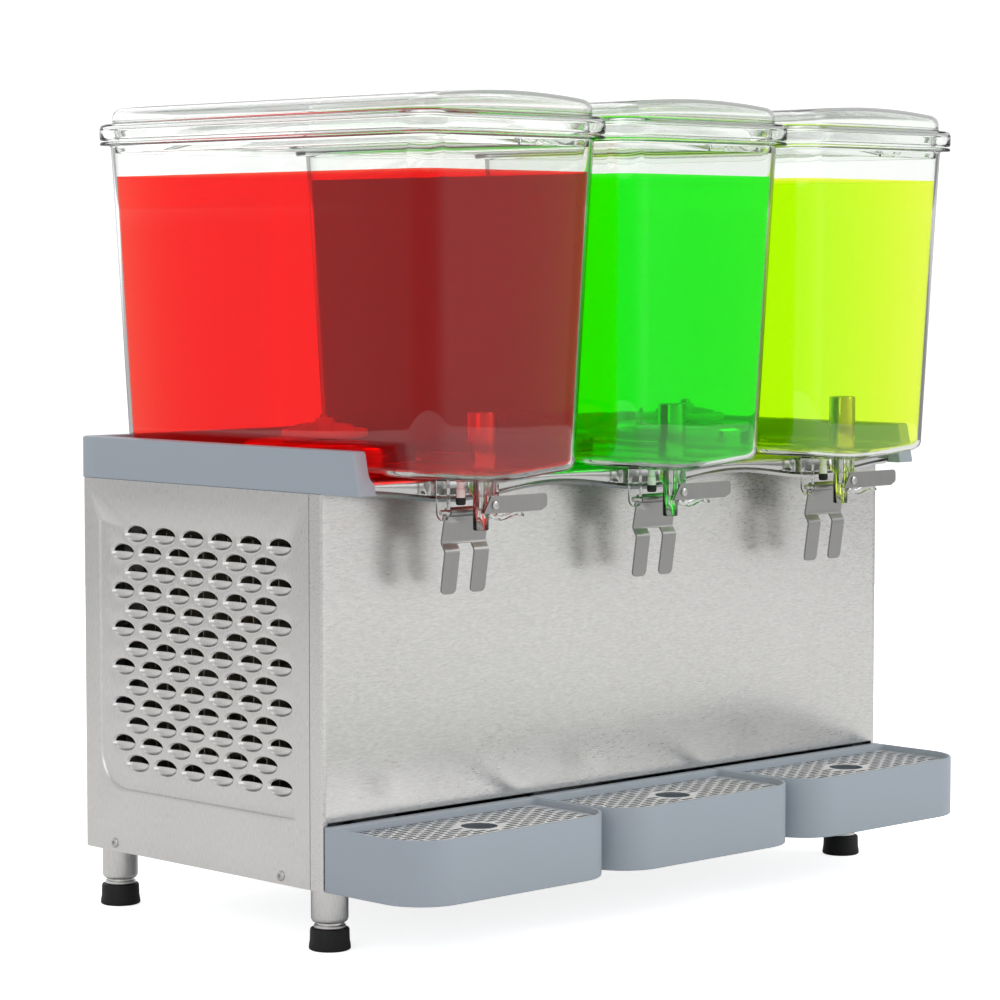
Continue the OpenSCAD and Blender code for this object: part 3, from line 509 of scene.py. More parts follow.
FLOOR_RINGS = (0, 900, 2600)
floor_shape = Shape().revolve([(radius, 0) for radius in FLOOR_RINGS], (0, 0, 0), steps=64)
floor_mesh = bpy.data.meshes.new("floor")
floor_mesh.from_pydata([Vector(p) * MM for p in floor_shape.points], [], floor_shape.faces)
floor = bpy.data.objects.new("floor", floor_mesh)
floor_look = Graph("pale_floor")
pale = floor_look.blend(floor_look.noise(3, detail=3), (0.88, 0.88, 0.88, 1), (0.92, 0.92, 0.92, 1))
lit = floor_look.add("BsdfDiffuse", Color=pale)
seen = floor_look.add("Math", {"operation": "MULTIPLY"})
floor_look.put(floor_look.add("LightPath").outputs["Is Camera Ray"], seen.inputs[0])
seen.inputs[1].default_value = 0.78
glow = floor_look.add("Emission", Color=(1, 1, 1, 1), Strength=seen)
lit_and_glow = floor_look.tree.nodes.new("ShaderNodeAddShader")
floor_look.put(lit, lit_and_glow.inputs[0])
floor_look.put(glow, lit_and_glow.inputs[1])
floor_look.put(lit_and_glow, floor_look.out.inputs["Surface"])
floor_mesh.materials.append(floor_look.mat)
scene.collection.objects.link(floor)

scene.view_settings.view_transform = "Standard"
cycles = scene.cycles
cycles.max_bounces = 24
cycles.transmission_bounces = 20
cycles.transparent_max_bounces = 24
cycles.glossy_bounces = 6
cycles.diffuse_bounces = 4
cycles.use_denoising = True
cycles.sample_clamp_indirect = 6

# ---- Bowls, drinks and lids ----

CORNER_STEPS = 8
SIDE_STEPS = 6
FACE_STEPS = 20


def bowl_loop(i, level, grow, height=None):
    """Points round a bowl's outline at a level. height gives each point's Z."""
    half_w = FLOOR_W / 2 + DRAFT * (level - BOWL_Z) + grow
    half_d = FLOOR_D / 2 + DRAFT * (level - BOWL_Z) + grow
    r = max(CORNER_R + grow, 3)
    arcs = []
    for sx, sy, first in ((1, -1, -90), (1, 1, 0), (-1, 1, 90), (-1, -1, 180)):
        arcs.append([(sx * (half_w - r) + r * math.cos(math.radians(first + 90 * k / CORNER_STEPS)),
                      sy * (half_d - r) + r * math.sin(math.radians(first + 90 * k / CORNER_STEPS)))
                     for k in range(CORNER_STEPS + 1)])
    flat = []
    for k, run in enumerate((SIDE_STEPS, FACE_STEPS, SIDE_STEPS, FACE_STEPS)):
        flat += arcs[k]
        (x1, y1), (x2, y2) = arcs[k][-1], arcs[(k + 1) % 4][0]
        flat += [(x1 + (x2 - x1) * s / run, y1 + (y2 - y1) * s / run) for s in range(1, run)]
    rise = height or (lambda x, y: level)
    return [(station_x(i) + x, BOWL_CY + y, rise(x, BOWL_CY + y)) for x, y in flat]


def sag(x, y):
    """How far the bowl's floor dips towards its outlet at the front."""
    return 4.5 * math.cos(math.pi * min(abs(x), 80) / 160) ** 2 * smoothstep(-125, -158, y)


def floor_at(level):
    return lambda x, y: level - sag(x, y)


def hole_loop(i, like, radius, z):
    """Circle round the evaporator with one point for each point of a loop."""
    centre = Vector((station_x(i), EVAPORATOR_Y))
    out = []
    for p in like:
        away = (Vector((p[0], p[1])) - centre).normalized() * radius
        out.append((centre.x + away.x, centre.y + away.y, z))
    return out


def bowl_shape(i):
    low, high = BOWL_Z, BOWL_TOP
    foot = 7
    foot_arc = [math.radians(a) for a in (90, 72, 54, 36, 18, 0)]
    rings = []
    outer_foot = [(low + foot - foot * math.sin(a), -foot + foot * math.cos(a)) for a in foot_arc]
    outline = bowl_loop(i, low, -foot, floor_at(low))
    rings.append(hole_loop(i, outline, EVAPORATOR_R + 3, low))
    for z, grow in outer_foot:
        rings.append(bowl_loop(i, z, grow, floor_at(z)))
    for z in (400, 470, 540):
        rings.append(bowl_loop(i, z, 0))
    lip = [(high - 4.6, 0), (high - 3.2, 0.5), (high - 2.6, 1.6), (high - 2.5, LIP - 1.0),
           (high - 2.2, LIP - 0.3), (high - 1.4, LIP), (high - 0.6, LIP - 0.25), (high, LIP - 1.0),
           (high, -1.6), (high - 0.4, -2.6), (high - 1.4, -WALL)]
    for z, grow in lip:
        rings.append(bowl_loop(i, high, grow, lambda x, y, z=z: z))
    for z in (540, 470, 400):
        rings.append(bowl_loop(i, z, -WALL))
    inner = foot - 1.5
    for a in reversed(foot_arc):
        z = low + WALL + inner - inner * math.sin(a)
        rings.append(bowl_loop(i, z, -WALL - inner + inner * math.cos(a), floor_at(z)))
    rings.append(hole_loop(i, outline, EVAPORATOR_R + 3, low + WALL))
    return Shape().loft(rings, wrap=True)


def drink_shape(i):
    gap = 0.25
    foot = 5.5
    rings = []
    for a in (90, 60, 30, 0):
        turn = math.radians(a)
        z = BOWL_Z + WALL + gap + foot - foot * math.sin(turn)
        rings.append(bowl_loop(i, z, -WALL - gap - foot + foot * math.cos(turn), floor_at(z)))
    for z in (400, 470, 520, DRINK_TOP - 3):
        rings.append(bowl_loop(i, z, -WALL - gap))
    for z, grow in ((DRINK_TOP + 0.8, 0), (DRINK_TOP + 0.2, -0.8), (DRINK_TOP, -2.4)):
        rings.append(bowl_loop(i, DRINK_TOP, -WALL - gap + grow, lambda x, y, z=z: z))
    return Shape().loft(rings, ends="az")


def lid_shape(i):
    """One closed skin: over the crown, down round the bead, and back up the skirt's inside."""
    crown = corners("lid_1")[1].z
    arch = 5.4
    half = FLOOR_W / 2 + DRAFT * (BOWL_TOP - BOWL_Z) - 1.3
    thick = 2.2

    def arched(drop):
        return lambda x, y: crown - drop - arch * min(abs(x) / half, 1) ** 2

    def ring(grow, z):
        return bowl_loop(i, BOWL_TOP, grow, z if callable(z) else (lambda x, y: z))

    def shrunk(drop, share):
        loop = bowl_loop(i, BOWL_TOP, -14)
        cx = station_x(i)
        out = []
        for x, y, _ in loop:
            px, py = (x - cx) * share, BOWL_CY + (y - BOWL_CY) * share
            out.append((cx + px, py, arched(drop)(px, py)))
        return out

    top = BOWL_TOP
    rings = [shrunk(0, s) for s in (0.02, 0.3, 0.6, 0.85, 0.97)]
    rings += [ring(-8.5, arched(0.15)), ring(-5.4, arched(0.75)), ring(-3.2, arched(2.1)),
              ring(-1.8, arched(4.2)), ring(-1.3, arched(6.6))]
    rings += [ring(g, top + z) for g, z in (
        (-1.3, 16.5), (-1.1, 15.0), (-0.4, 14.1), (1.2, 13.8), (4.4, 13.7), (6.6, 13.2),
        (7.9, 11.9), (8.5, 10.0), (8.6, 7.0), (8.5, 3.4), (8.3, 2.0), (7.7, 1.5), (6.9, 1.7),
        (6.5, 2.6), (6.6, 8.0), (6.0, 10.2), (4.4, 11.2), (0.0, 11.4), (-2.6, 11.2), (-3.5, 10.2),
        (-3.6, 2.0), (-3.6, -6.9), (-3.9, -7.9), (-4.7, -8.2), (-5.5, -7.9), (-5.8, -6.9),
        (-5.8, 11.0), (-5.0, 12.6), (-3.7, 13.8), (-3.5, 15.5))]
    rings += [ring(-3.5, arched(7.6)), ring(-3.9, arched(5.6)), ring(-5.2, arched(3.7)),
              ring(-7.4, arched(2.6)), ring(-10.0, arched(thick))]
    rings += [shrunk(thick, s) for s in (0.97, 0.85, 0.6, 0.3, 0.02)]
    return Shape().loft(rings, ends="az")


def tap_moulding(i):
    """Outlet pad and spout under the front of the bowl."""
    x = station_x(i)
    pad_low, pad_high = BOWL_Z - 5, BOWL_Z - 3.6
    spout_r, bore_r, spout_low = 5.8, 4.0, corners("bowl_1")[0].z
    shape = Shape()
    shape.revolve([(22.4, BOWL_Z + 1.4), (23, BOWL_Z + 0.8), (23, pad_low + 1),
                   (22.6, pad_low + 0.5), (22.0, pad_low), (10.2, pad_low),
                   (9.3, pad_low - 0.9), (9.1, pad_low - 9), (8.4, pad_low - 10),
                   (spout_r + 0.6, pad_low - 10.4), (spout_r, pad_low - 11.4),
                   (spout_r, spout_low + 0.6), (spout_r - 0.5, spout_low),
                   (bore_r + 0.4, spout_low), (bore_r, spout_low + 0.5),
                   (bore_r, pad_high), (12, pad_high + 0.4), (16, BOWL_Z + 1.0)],
                  (x, TAP_Y, 0), steps=48, wrap=True)
    return shape


def ear_shape(i):
    x = station_x(i)
    pad_z = BOWL_Z - 3.4
    shape = Shape()
    for side in (-1, 1):
        inner = x + side * 22.8
        outer = x + side * 26.3
        arc = [(HINGE_Y + 6 * math.cos(math.radians(a)), HINGE_Z + 6 * math.sin(math.radians(a)))
               for a in range(180, 361, 15)]
        outline = arc + [(HINGE_Y + 6, pad_z), (HINGE_Y - 6, pad_z)]
        shape.prism(outline, min(inner, outer), max(inner, outer), "x")
    shape.box((x - 26.3, HINGE_Y - 4.5, BOWL_Z - 5), (x + 26.3, HINGE_Y + 6, pad_z))
    shape.box((x + 1, TAP_Y - 7.2, 319), (x + 9, TAP_Y + 1, BOWL_Z - 4.8))
    return shape


def catch_shape(i):
    """Hooked rib on the front of the lid's skirt."""
    x, y = station_x(i), BOWL_CY - FLOOR_D / 2 - 5.2
    outline = [(1, 588.6), (5, 588.6), (5, 584.4), (22, 584.4), (24, 586.6), (30, 586.6),
               (30, 588.4), (23.4, 588.4), (21, 586.4), (7, 586.4), (7, 590), (1, 590)]
    return Shape().prism([(x + u, z) for u, z in outline], y, y + 2.6, "y")


for i in STATIONS:
    name = f"bowl_{i}"
    piece(name + "_shell", bowl_shape(i), clear_plastic, name, replaces=name, smooth=45)
    piece(name + "_drink", drink_shape(i), drinks[i], name, smooth=45)
    piece(name + "_spout", tap_moulding(i), clear_plastic, name)
    piece(name + "_ears", ear_shape(i), clear_plastic, name, bevel=0.5)
    piece(f"lid_{i}_moulding", lid_shape(i), clear_plastic, f"lid_{i}", replaces=f"lid_{i}",
          smooth=45)
    piece(f"lid_{i}_catch", catch_shape(i), clear_plastic, f"lid_{i}",
          bevel=0.5)

# ---- Deck ----


def rim_profile():
    """Section of the cover's rim: inset from the outer face, and height."""
    top, low = COVER_TOP, CABINET_TOP
    return [(17.5, low), (17.5, 341.6), (16.3, 342.6), (14.8, 344.4), (13.6, 347.0), (13.0, 350.5),
            (13.0, top - 1.6), (12.5, top - 0.5), (11.4, top), (1.8, top), (0.6, top - 0.5),
            (0, top - 1.7), (0, low + 0.5), (0.5, low)]


def cover_shape():
    profile = rim_profile()
    half = COVER_HIGH.x
    rear = COVER_HIGH.y
    slope = 6.4 / 32
    turn_r = 6
    squeeze = 10 / 13
    centre = (sum(p[0] for p in profile) / len(profile), sum(p[1] for p in profile) / len(profile))

    def front_y(z):
        return COVER_LOW.y + slope * (z - CABINET_TOP)

    def run(y_of, inset=0.0):
        ring = []
        for a, z in profile:
            u = a + inset * (1 if a < centre[0] else -1)
            w = z + inset * (1 if z < centre[1] else -1)
            ring.append((-half + u, y_of(w), w))
        return ring

    left = [run(front_y, 1.4), run(lambda z: front_y(z) + 0.4, 0.5),
            run(lambda z: front_y(z) + 1.4), run(lambda z: 40), run(lambda z: 170)]
    for k in (0, 1, 2):
        ring = []
        for a, z in profile:
            r = max(turn_r - a, 0)
            b = a * squeeze
            shift = ((0, r), (0.293 * r, 0.293 * r), (r, 0))[k]
            ring.append((-half + a + shift[0], rear - b - shift[1], z))
        left.append(ring)
    right = [[(-x, y, z) for x, y, z in ring] for ring in reversed(left)]
    shape = Shape().loft(left + right, ends="az")
    floor_front = NOSE_Y + 6
    outer = [(-half + 16, floor_front), (half - 16, floor_front), (half - 16, rear - 12),
             (-half + 16, rear - 12)]
    holes = [[(station_x(i) + 71 * math.cos(a), EVAPORATOR_Y + 71 * math.sin(a))
              for a in (2 * math.pi * k / 48 for k in range(48))] for i in STATIONS]
    points, faces = flat_faces([outer] + holes)
    for z in (CABINET_TOP, 341):
        shape.add([(p[0], p[1], z) for p in points], faces)
    for loop in [outer] + holes:
        shape.loft([[(p[0], p[1], z) for p in loop] for z in (CABINET_TOP, 341)])
    return shape


def nose_low(x):
    return CABINET_TOP - 1.5 - 4 * math.cos(2 * math.pi * x / BOWL_PITCH)


def deck_shape():
    """Deck sheet with a rolled nose whose hem waves lower in front of each bowl."""
    half = corners("deck_plate")[1].x
    rear = corners("deck_plate")[1].y
    r = 4.5
    steps = 72
    front = [(-half + 2 * half * k / steps, NOSE_Y + r) for k in range(steps + 1)]
    holes = [[(station_x(i) + 63.2 * math.cos(a), EVAPORATOR_Y + 63.2 * math.sin(a))
              for a in (2 * math.pi * k / 64 for k in range(64))] for i in STATIONS]
    points, faces = flat_faces([front + [(half, rear), (-half, rear)]] + holes)
    shape = Shape().add([(x, y, DECK_TOP) for x, y in points], faces)
    rings = []
    for x, _ in front:
        low = nose_low(x)
        ring = [(x, NOSE_Y + r - r * math.sin(math.radians(a)),
                 DECK_TOP - r + r * math.cos(math.radians(a))) for a in (0, 18, 36, 54, 72, 90)]
        ring += [(x, NOSE_Y, low + 2.0), (x, NOSE_Y + 0.3, low + 1.0), (x, NOSE_Y + 1.1, low + 0.3),
                 (x, NOSE_Y + 2.2, low), (x, NOSE_Y + 5, low + 0.2)]
        rings.append(ring)
    return shape.loft(rings, closed=False)


def evaporator_shape(i):
    r = EVAPORATOR_R
    rounding = [(r - 6 + 6 * math.cos(math.radians(a)), CUP_TOP - 7 + 6 * math.sin(math.radians(a)))
                for a in range(0, 91, 15)]
    profile = ([(r + 7, DECK_TOP - 5), (r + 7, DECK_TOP - 2.2), (r, DECK_TOP - 2.2)]
               + [(r, CUP_TOP - 12)] + rounding
               + [(24, CUP_TOP - 0.8), (20, CUP_TOP - 0.2), (9, CUP_TOP), (6, CUP_TOP + 0.4),
                  (4.3, CUP_TOP + 2.0), (4.0, CUP_TOP + 17.6), (3.4, CUP_TOP + 18.6),
                  (2.2, CUP_TOP + 19), (0, CUP_TOP + 19), (0, CUP_TOP - 2), (r - 7, CUP_TOP - 3),
                  (r - 2, CUP_TOP - 9), (r - 2, DECK_TOP - 5)])
    return Shape().revolve(profile, (station_x(i), EVAPORATOR_Y, 0), steps=96, wrap=True)


def gasket_shape(i):
    mid = EVAPORATOR_R + 3.4
    section = [(mid + 3.4 * math.cos(math.radians(a)), DECK_TOP + 2 + 2 * math.sin(math.radians(a)))
               for a in range(0, 360, 30)]
    return Shape().revolve(section, (station_x(i), EVAPORATOR_Y, 0), steps=72, wrap=True)


def wheel_shape(i):
    """Ring, hub and four twisted paddles that stand on the evaporator's pin."""
    x, base = station_x(i), CUP_TOP + 1.5
    shape = Shape()
    ring = [(31.5 + 1.5 * math.cos(math.radians(a)), base + 3 + 3 * math.sin(math.radians(a)))
            for a in range(0, 360, 30)]
    shape.revolve(ring, (x, EVAPORATOR_Y, 0), steps=72, wrap=True)
    shape.revolve([(4.2, base), (8.2, base), (9, base + 0.8), (9, base + 10), (7, base + 13.4),
                   (6, base + 14.4), (4.8, base + 14.5), (4.2, base + 14)],
                  (x, EVAPORATOR_Y, 0), steps=40, wrap=True)
    for quarter in range(4):
        a = math.pi / 2 * quarter
        out, side = Vector((math.cos(a), math.sin(a))), Vector((-math.sin(a), math.cos(a)))
        rings = []
        for s in (8.4, 14, 20, 26, 30.5):
            lean = 3.2 * (s / 30) ** 1.5
            high = 11 - 2.5 * (s / 30) ** 2
            loop = []
            for off, z in ((-1.4, 0.3), (-0.9, 0), (0.9, 0), (1.4, 0.3), (0.8 + lean, high - 0.4),
                           (0.4 + lean, high), (-0.4 + lean, high), (-0.8 + lean, high - 0.4)):
                p = out * s + side * off
                loop.append((x + p.x, EVAPORATOR_Y + p.y, base + z))
            rings.append(loop)
        shape.loft(rings, ends="az")
    return shape


piece("deck_cover_moulding", cover_shape(), grey_plastic, "cabinet", replaces="deck_cover",
      smooth=32)
piece("deck_sheet", deck_shape(), polished, "cabinet", replaces="deck_plate", smooth=50,
      thick=1.4, facing=(0, -0.35, 1))
cups = Shape()
seals = Shape()
for i in STATIONS:
    part = evaporator_shape(i)
    cups.add(part.points, part.faces)
    part = gasket_shape(i)
    seals.add(part.points, part.faces)
    piece(f"agitator_wheel_{i}_moulding", wheel_shape(i), white_plastic, f"wheel_{i}",
          replaces=f"agitator_wheel_{i}")
piece("evaporator_cups", cups, polished, "cabinet", replaces="evaporators", smooth=35)
piece("evaporator_seals", seals, white_rubber, "cabinet", replaces="bowl_gaskets")

# ---- Cabinet ----

LOUVRE_ROWS, LOUVRE_COLS = 13, 6
LOUVRE_FIRST_Y, LOUVRE_TOP_Z = 121.0, 293.7
LOUVRE_PITCH_Y, LOUVRE_PITCH_Z = 33.45, 14.68
LOUVRE_HALF_W, LOUVRE_HALF_H = 14.3, 6.5
DISH = [(1.06, 0.0), (1.01, 0.08), (0.97, 0.42), (0.93, 1.0), (0.86, 1.8), (0.75, 2.7),
        (0.6, 3.45), (0.4, 4.05), (0.2, 4.35), (0.0, 4.45)]
OPEN_RINGS = 5


def louvre_centres():
    for row in range(LOUVRE_ROWS):
        for col in range(LOUVRE_COLS):
            yield (LOUVRE_FIRST_Y + (row % 2) * LOUVRE_PITCH_Y / 2 - col * LOUVRE_PITCH_Y,
                   LOUVRE_TOP_Z - row * LOUVRE_PITCH_Z)


def oval(centre, share, degrees):
    return (centre[0] + share * LOUVRE_HALF_W * math.cos(math.radians(degrees)),
            centre[1] + share * LOUVRE_HALF_H * math.sin(math.radians(degrees)))


def groove_path():
    """Line of the pressed groove round the louvres' rear and lower sides."""
    y_rear, z_low, r, front, top = 165.2, 95.3, 30.0, -62.0, 301.0
    line = [(y_rear, top - 20 * k) for k in range(9)]
    line += [(y_rear - r + r * math.cos(math.radians(a)), z_low + r - r * math.sin(math.radians(a)))
             for a in range(0, 91, 10)]
    line += [(y_rear - r - 22 * k, z_low) for k in range(1, 9)]
    return line + [(front, z_low)]


def groove_rings():
    path = groove_path()
    half, deep = 2.0, 1.5
    ends = [(1.9, 0.0), (1.5, 0.6), (0.9, 0.88), (0.0, 1.0)]
    across = [(-1.0, 0.0), (-0.8, 0.12), (-0.4, 0.75), (0.0, 1.0), (0.4, 0.75), (0.8, 0.12),
              (1.0, 0.0)]
    first = Vector(path[0]) - Vector(path[1])
    last = Vector(path[-1]) - Vector(path[-2])
    spots = [(Vector(path[0]) + first.normalized() * d, -first, w) for d, w in ends[:3]]
    for k, p in enumerate(path):
        along = Vector(path[min(k + 1, len(path) - 1)]) - Vector(path[max(k - 1, 0)])
        spots.append((Vector(p), along, 1.0))
    spots += [(Vector(path[-1]) + last.normalized() * d, last, w) for d, w in reversed(ends[:3])]
    rings = []
    for spot, along, share in spots:
        side = Vector((-along.y, along.x)).normalized()
        rings.append([(tuple(spot + side * half * share * s), deep * share * d)
                      for s, d in across])
    return rings


def side_panel(sign):
    """Sheet with pressed louvres and a groove. sign is -1 for the left side."""
    shape = Shape()

    def place(p, depth=0.0):
        return (sign * (WALL_X - depth), p[0], p[1])

    y0, y1, z0, z1 = PANEL_LOW.y, REAR_Y, CABINET_Z, CABINET_TOP
    outer = [(y0, z0), (y1, z0), (y1, z1), (y0, z1)]
    holes = []
    step = 12
    for centre in louvre_centres():
        holes.append([oval(centre, DISH[0][0], a) for a in range(0, 360, step)])
        upper = [[place(oval(centre, share, a), depth) for a in range(0, 181, step)]
                 for share, depth in DISH[:OPEN_RINGS]]
        shape.loft(upper, closed=False)
        lower = [[place(oval(centre, share, a), depth) for a in range(180, 361, step)]
                 for share, depth in DISH]
        shape.loft(lower, closed=False)
    grooves = groove_rings()
    shape.loft([[place(p, d) for p, d in ring] for ring in grooves], closed=False)
    left = [ring[0][0] for ring in grooves]
    right = [ring[-1][0] for ring in grooves]
    holes.append(left + right[-2:0:-1] if left[0] == right[0] else left + right[::-1])
    points, faces = flat_faces([outer] + holes)
    return shape.add([place(p) for p in points], faces)


def front_shape():
    """Front sheet with rounded upright corners and a full-height return on each side."""
    r, back = 2.2, FRONT_Y + 13
    bend = [(-WALL_X, back), (-WALL_X, FRONT_Y + r)]
    bend += [(-WALL_X + r - r * math.cos(a), FRONT_Y + r - r * math.sin(a))
             for a in map(math.radians, (15, 30, 45, 60, 75, 90))]
    bend.append((-WALL_X + 5, FRONT_Y))
    shape = Shape()
    levels = (CABINET_Z, FRONT_LOW_Z, CABINET_TOP)
    for side in (1, -1):
        shape.loft([[(side * x, y, z) for x, y in bend] for z in levels], closed=False)
    inner = WALL_X - 5
    shape.add([(-inner, FRONT_Y, FRONT_LOW_Z), (inner, FRONT_Y, FRONT_LOW_Z),
               (inner, FRONT_Y, CABINET_TOP), (-inner, FRONT_Y, CABINET_TOP)], [(0, 1, 2, 3)])
    hem = [(FRONT_Y, FRONT_LOW_Z), (FRONT_Y + 0.5, FRONT_LOW_Z - 0.8),
           (FRONT_Y + 1.6, FRONT_LOW_Z - 1.2), (FRONT_Y + 12, FRONT_LOW_Z - 1.2)]
    shape.loft([[(x, y, z) for y, z in hem] for x in (-inner, inner)], closed=False)
    return shape


def screw_shape(shape, where, axis, sign):
    """Domed head with a six-sided socket."""
    head, sink = 4.0, 1.0
    rings = []
    steps = 36

    def put(u, v, h):
        if axis == "x":
            return (where[0] + sign * h, where[1] + u, where[2] + v)
        return (where[0] + u, where[1] + sign * h, where[2] + v)

    for radius, height in ((head, 0.0), (head, 0.5), (head - 0.4, 1.0), (head - 1.2, 1.38),
                           (2.0, 1.5)):
        rings.append([put(radius * math.cos(2 * math.pi * k / steps),
                          radius * math.sin(2 * math.pi * k / steps), height)
                      for k in range(steps)])
    for height in (1.5, 1.5 - sink):
        ring = []
        for k in range(steps):
            a = 2 * math.pi * k / steps
            flat = 1.35 / math.cos((a % (math.pi / 3)) - math.pi / 6)
            ring.append(put(flat * math.cos(a), flat * math.sin(a), height))
        rings.append(ring)
    shape.loft(rings, ends="az")


LEFT, RIGHT = -1, 1
piece("left_side_louvred", side_panel(LEFT), brushed_side, "cabinet", replaces="left_side_panel",
      smooth=50, thick=1.0, facing=(-1, 0, 0))
piece("right_side_louvred", side_panel(RIGHT), brushed_side, "cabinet",
      replaces="right_side_panel", smooth=50, thick=1.0, facing=(1, 0, 0))
piece("front_sheet", front_shape(), brushed_front, "cabinet", replaces="front_panel",
      smooth=50, thick=SHEET)

screws = Shape()
for side in (LEFT, RIGHT):
    for y, z in ((150, 53), (-47, 53)):
        screw_shape(screws, (side * WALL_X, y, z), "x", side)
for x in (-290, 290):
    for z in (70, 310):
        screw_shape(screws, (x, REAR_Y, z), "y", 1)
piece("panel_screw_heads", screws, screw_steel, "cabinet", replaces="panel_screws", smooth=35)

# ---- Legs ----

LEG_X = middle("leg_tubes", 0) + (corners("leg_tubes")[1].x - corners("leg_tubes")[0].x) / 2 - 13.75
legs, boots = Shape(), Shape()
for x in (-LEG_X, LEG_X):
    for y in (-75.5, 172.3):
        shoulder = [(13.75 - 4 + 4 * math.cos(math.radians(a)), 24 - 4 * math.sin(math.radians(a)))
                    for a in range(90, -1, -15)]
        legs.revolve([(0, 6), (9.2, 6), (9.2, 16), (11.4, 16.2), (11.9, 16.8), (11.9, 18.0),
                      (11.4, 18.6), (9.4, 18.8), (9.2, 20.0)] + shoulder
                     + [(13.75, CABINET_Z), (0, CABINET_Z)], (x, y, 0), steps=56)
        boots.revolve([(0, 0), (14.2, 0), (15.2, 0.6), (15.5, 1.8), (15.2, 4.2), (14.7, 7.0),
                       (14.5, 14.8), (14.0, 15.8), (13.0, 16), (9.4, 16), (9.4, 6), (0, 6)],
                      (x, y, 0), steps=56)
piece("leg_tubes_turned", legs, brushed_side, "cabinet", replaces="leg_tubes", smooth=35)
piece("leg_boots_moulded", boots, black_rubber, "cabinet", replaces="leg_boots", smooth=35)

# ---- Taps ----


def bent(path, radius, steps=4):
    """Path with its inner corners rounded."""
    out = [Vector(path[0])]
    for k in range(1, len(path) - 1):
        p = Vector(path[k])
        a, b = (Vector(path[k - 1]) - p).normalized(), (Vector(path[k + 1]) - p).normalized()
        start, end = p + a * radius, p + b * radius
        for s in range(steps + 1):
            t = s / steps
            out.append(start * (1 - t) ** 2 + p * 2 * t * (1 - t) + end * t * t)
    out.append(Vector(path[-1]))
    return out


def cup_lever_shape(i):
    """Bent sheet: a plate on the hinge, then two prongs."""
    cx = station_x(i)
    line = bent([(HINGE_Y, HINGE_Z - 2.5), (-126.9, 296.5), (-131, 290.5), (-126.2, 258.6)], 2.0)
    dense = []
    for a, b in zip(line, line[1:]):
        cut = max(int((b - a).length / 3), 1)
        dense += [a + (b - a) * s / cut for s in range(cut)]
    dense.append(line[-1])
    tip = dense[-1]
    half, prong, tip_r = 22.0, 14.6, 4.0
    slot_top = 295.5
    columns = [-half, -half + 1.5, -half + prong / 2, -half + prong - 1.5, -half + prong, 0,
               half - prong, half - prong + 1.5, half - prong / 2, half - 1.5, half]
    reach = [0.0]
    for a, b in zip(dense, dense[1:]):
        reach.append(reach[-1] + (b - a).length)
    total = reach[-1]
    ends = [total - tip_r * (1 - math.sin(math.radians(a))) for a in (0, 20, 40, 60, 75, 90)]
    rows = sorted([r for r in reach if r < total - tip_r] + ends)

    def at(length):
        for k in range(len(reach) - 1):
            if reach[k + 1] >= length - 1e-9:
                f = (length - reach[k]) / (reach[k + 1] - reach[k])
                return dense[k] + (dense[k + 1] - dense[k]) * f
        return tip

    grid = []
    for length in rows:
        spot = at(length)
        left = total - length
        narrow = 1.0
        if left < tip_r:
            full = prong / 2
            narrow = (full - tip_r + math.sqrt(max(tip_r ** 2 - (tip_r - left) ** 2, 0))) / full
        row = []
        for x in columns:
            if x == 0:
                row.append((cx, spot.x, spot.y))
                continue
            mid = math.copysign(half - prong / 2, x)
            row.append((cx + mid + (x - mid) * narrow, spot.x, spot.y))
        grid.append(row)
    shape = Shape()
    n = len(columns)
    points = [p for row in grid for p in row]
    faces = []
    for r in range(len(grid) - 1):
        for c in range(n - 1):
            if c in (4, 5) and grid[r + 1][5][2] < slot_top:
                continue
            faces.append((r * n + c, r * n + c + 1, (r + 1) * n + c + 1, (r + 1) * n + c))
    return shape.add(points, faces)


def eye_shape(i):
    x = station_x(i)
    outer, inner, half = 3.6, 2.1, 19.0
    return Shape().revolve([(outer, -half), (outer, half), (inner, half), (inner, -half)],
                           (x, HINGE_Y, HINGE_Z), axis="x", steps=32, wrap=True)


def hand_lever_shape(i):
    x = station_x(i)
    outline = rounded([(-5.3, 318), (53.5, 318), (59.5, 321), (59.5, 330.6), (2.3, 330.6)],
                      (0.8, 3, 2.5, 3, 0.8))
    return Shape().prism([(x + u, v) for u, v in outline], -153.9, -152.4, "y")


def clip_shape(i):
    """Clear finger of the valve's lifting cam, under the hand lever."""
    x = station_x(i)
    path = [(x + 2, 318.2), (x + 7, 314.6), (x + 13, 313.6), (x + 20, 314.6), (x + 27, 316.6),
            (x + 33, 317.2), (x + 37, 315.2)]
    shape = Shape()
    rings = []
    for k, (px, pz) in enumerate(path):
        thick = 1.5 if k < len(path) - 1 else 1.0
        rings.append([(px, y, pz + dz) for y, dz in (
            (-152.2, -thick), (-146.0, -thick), (-145.4, 0), (-146.0, thick), (-152.2, thick),
            (-152.4, 0))])
    shape.loft(rings, ends="az")
    return shape


def pins_shape(i):
    x = station_x(i)
    span = 54.2 / 2
    shape = Shape()
    shape.revolve([(0, -span), (1.5, -span), (2, -span + 0.5), (2, span - 0.5), (1.5, span),
                   (0, span)], (x, HINGE_Y, HINGE_Z), axis="x", steps=24)
    front = corners("tap_pins_1")[0].y
    shape.revolve([(0, front + 8), (2, front + 8), (2, front + 1.4), (3.25, front + 1.35),
                   (3.25, front + 0.6), (2.6, front + 0.1), (1.6, front), (0, front)],
                  (x + 6, 0, 324), axis="y", steps=28)
    return shape


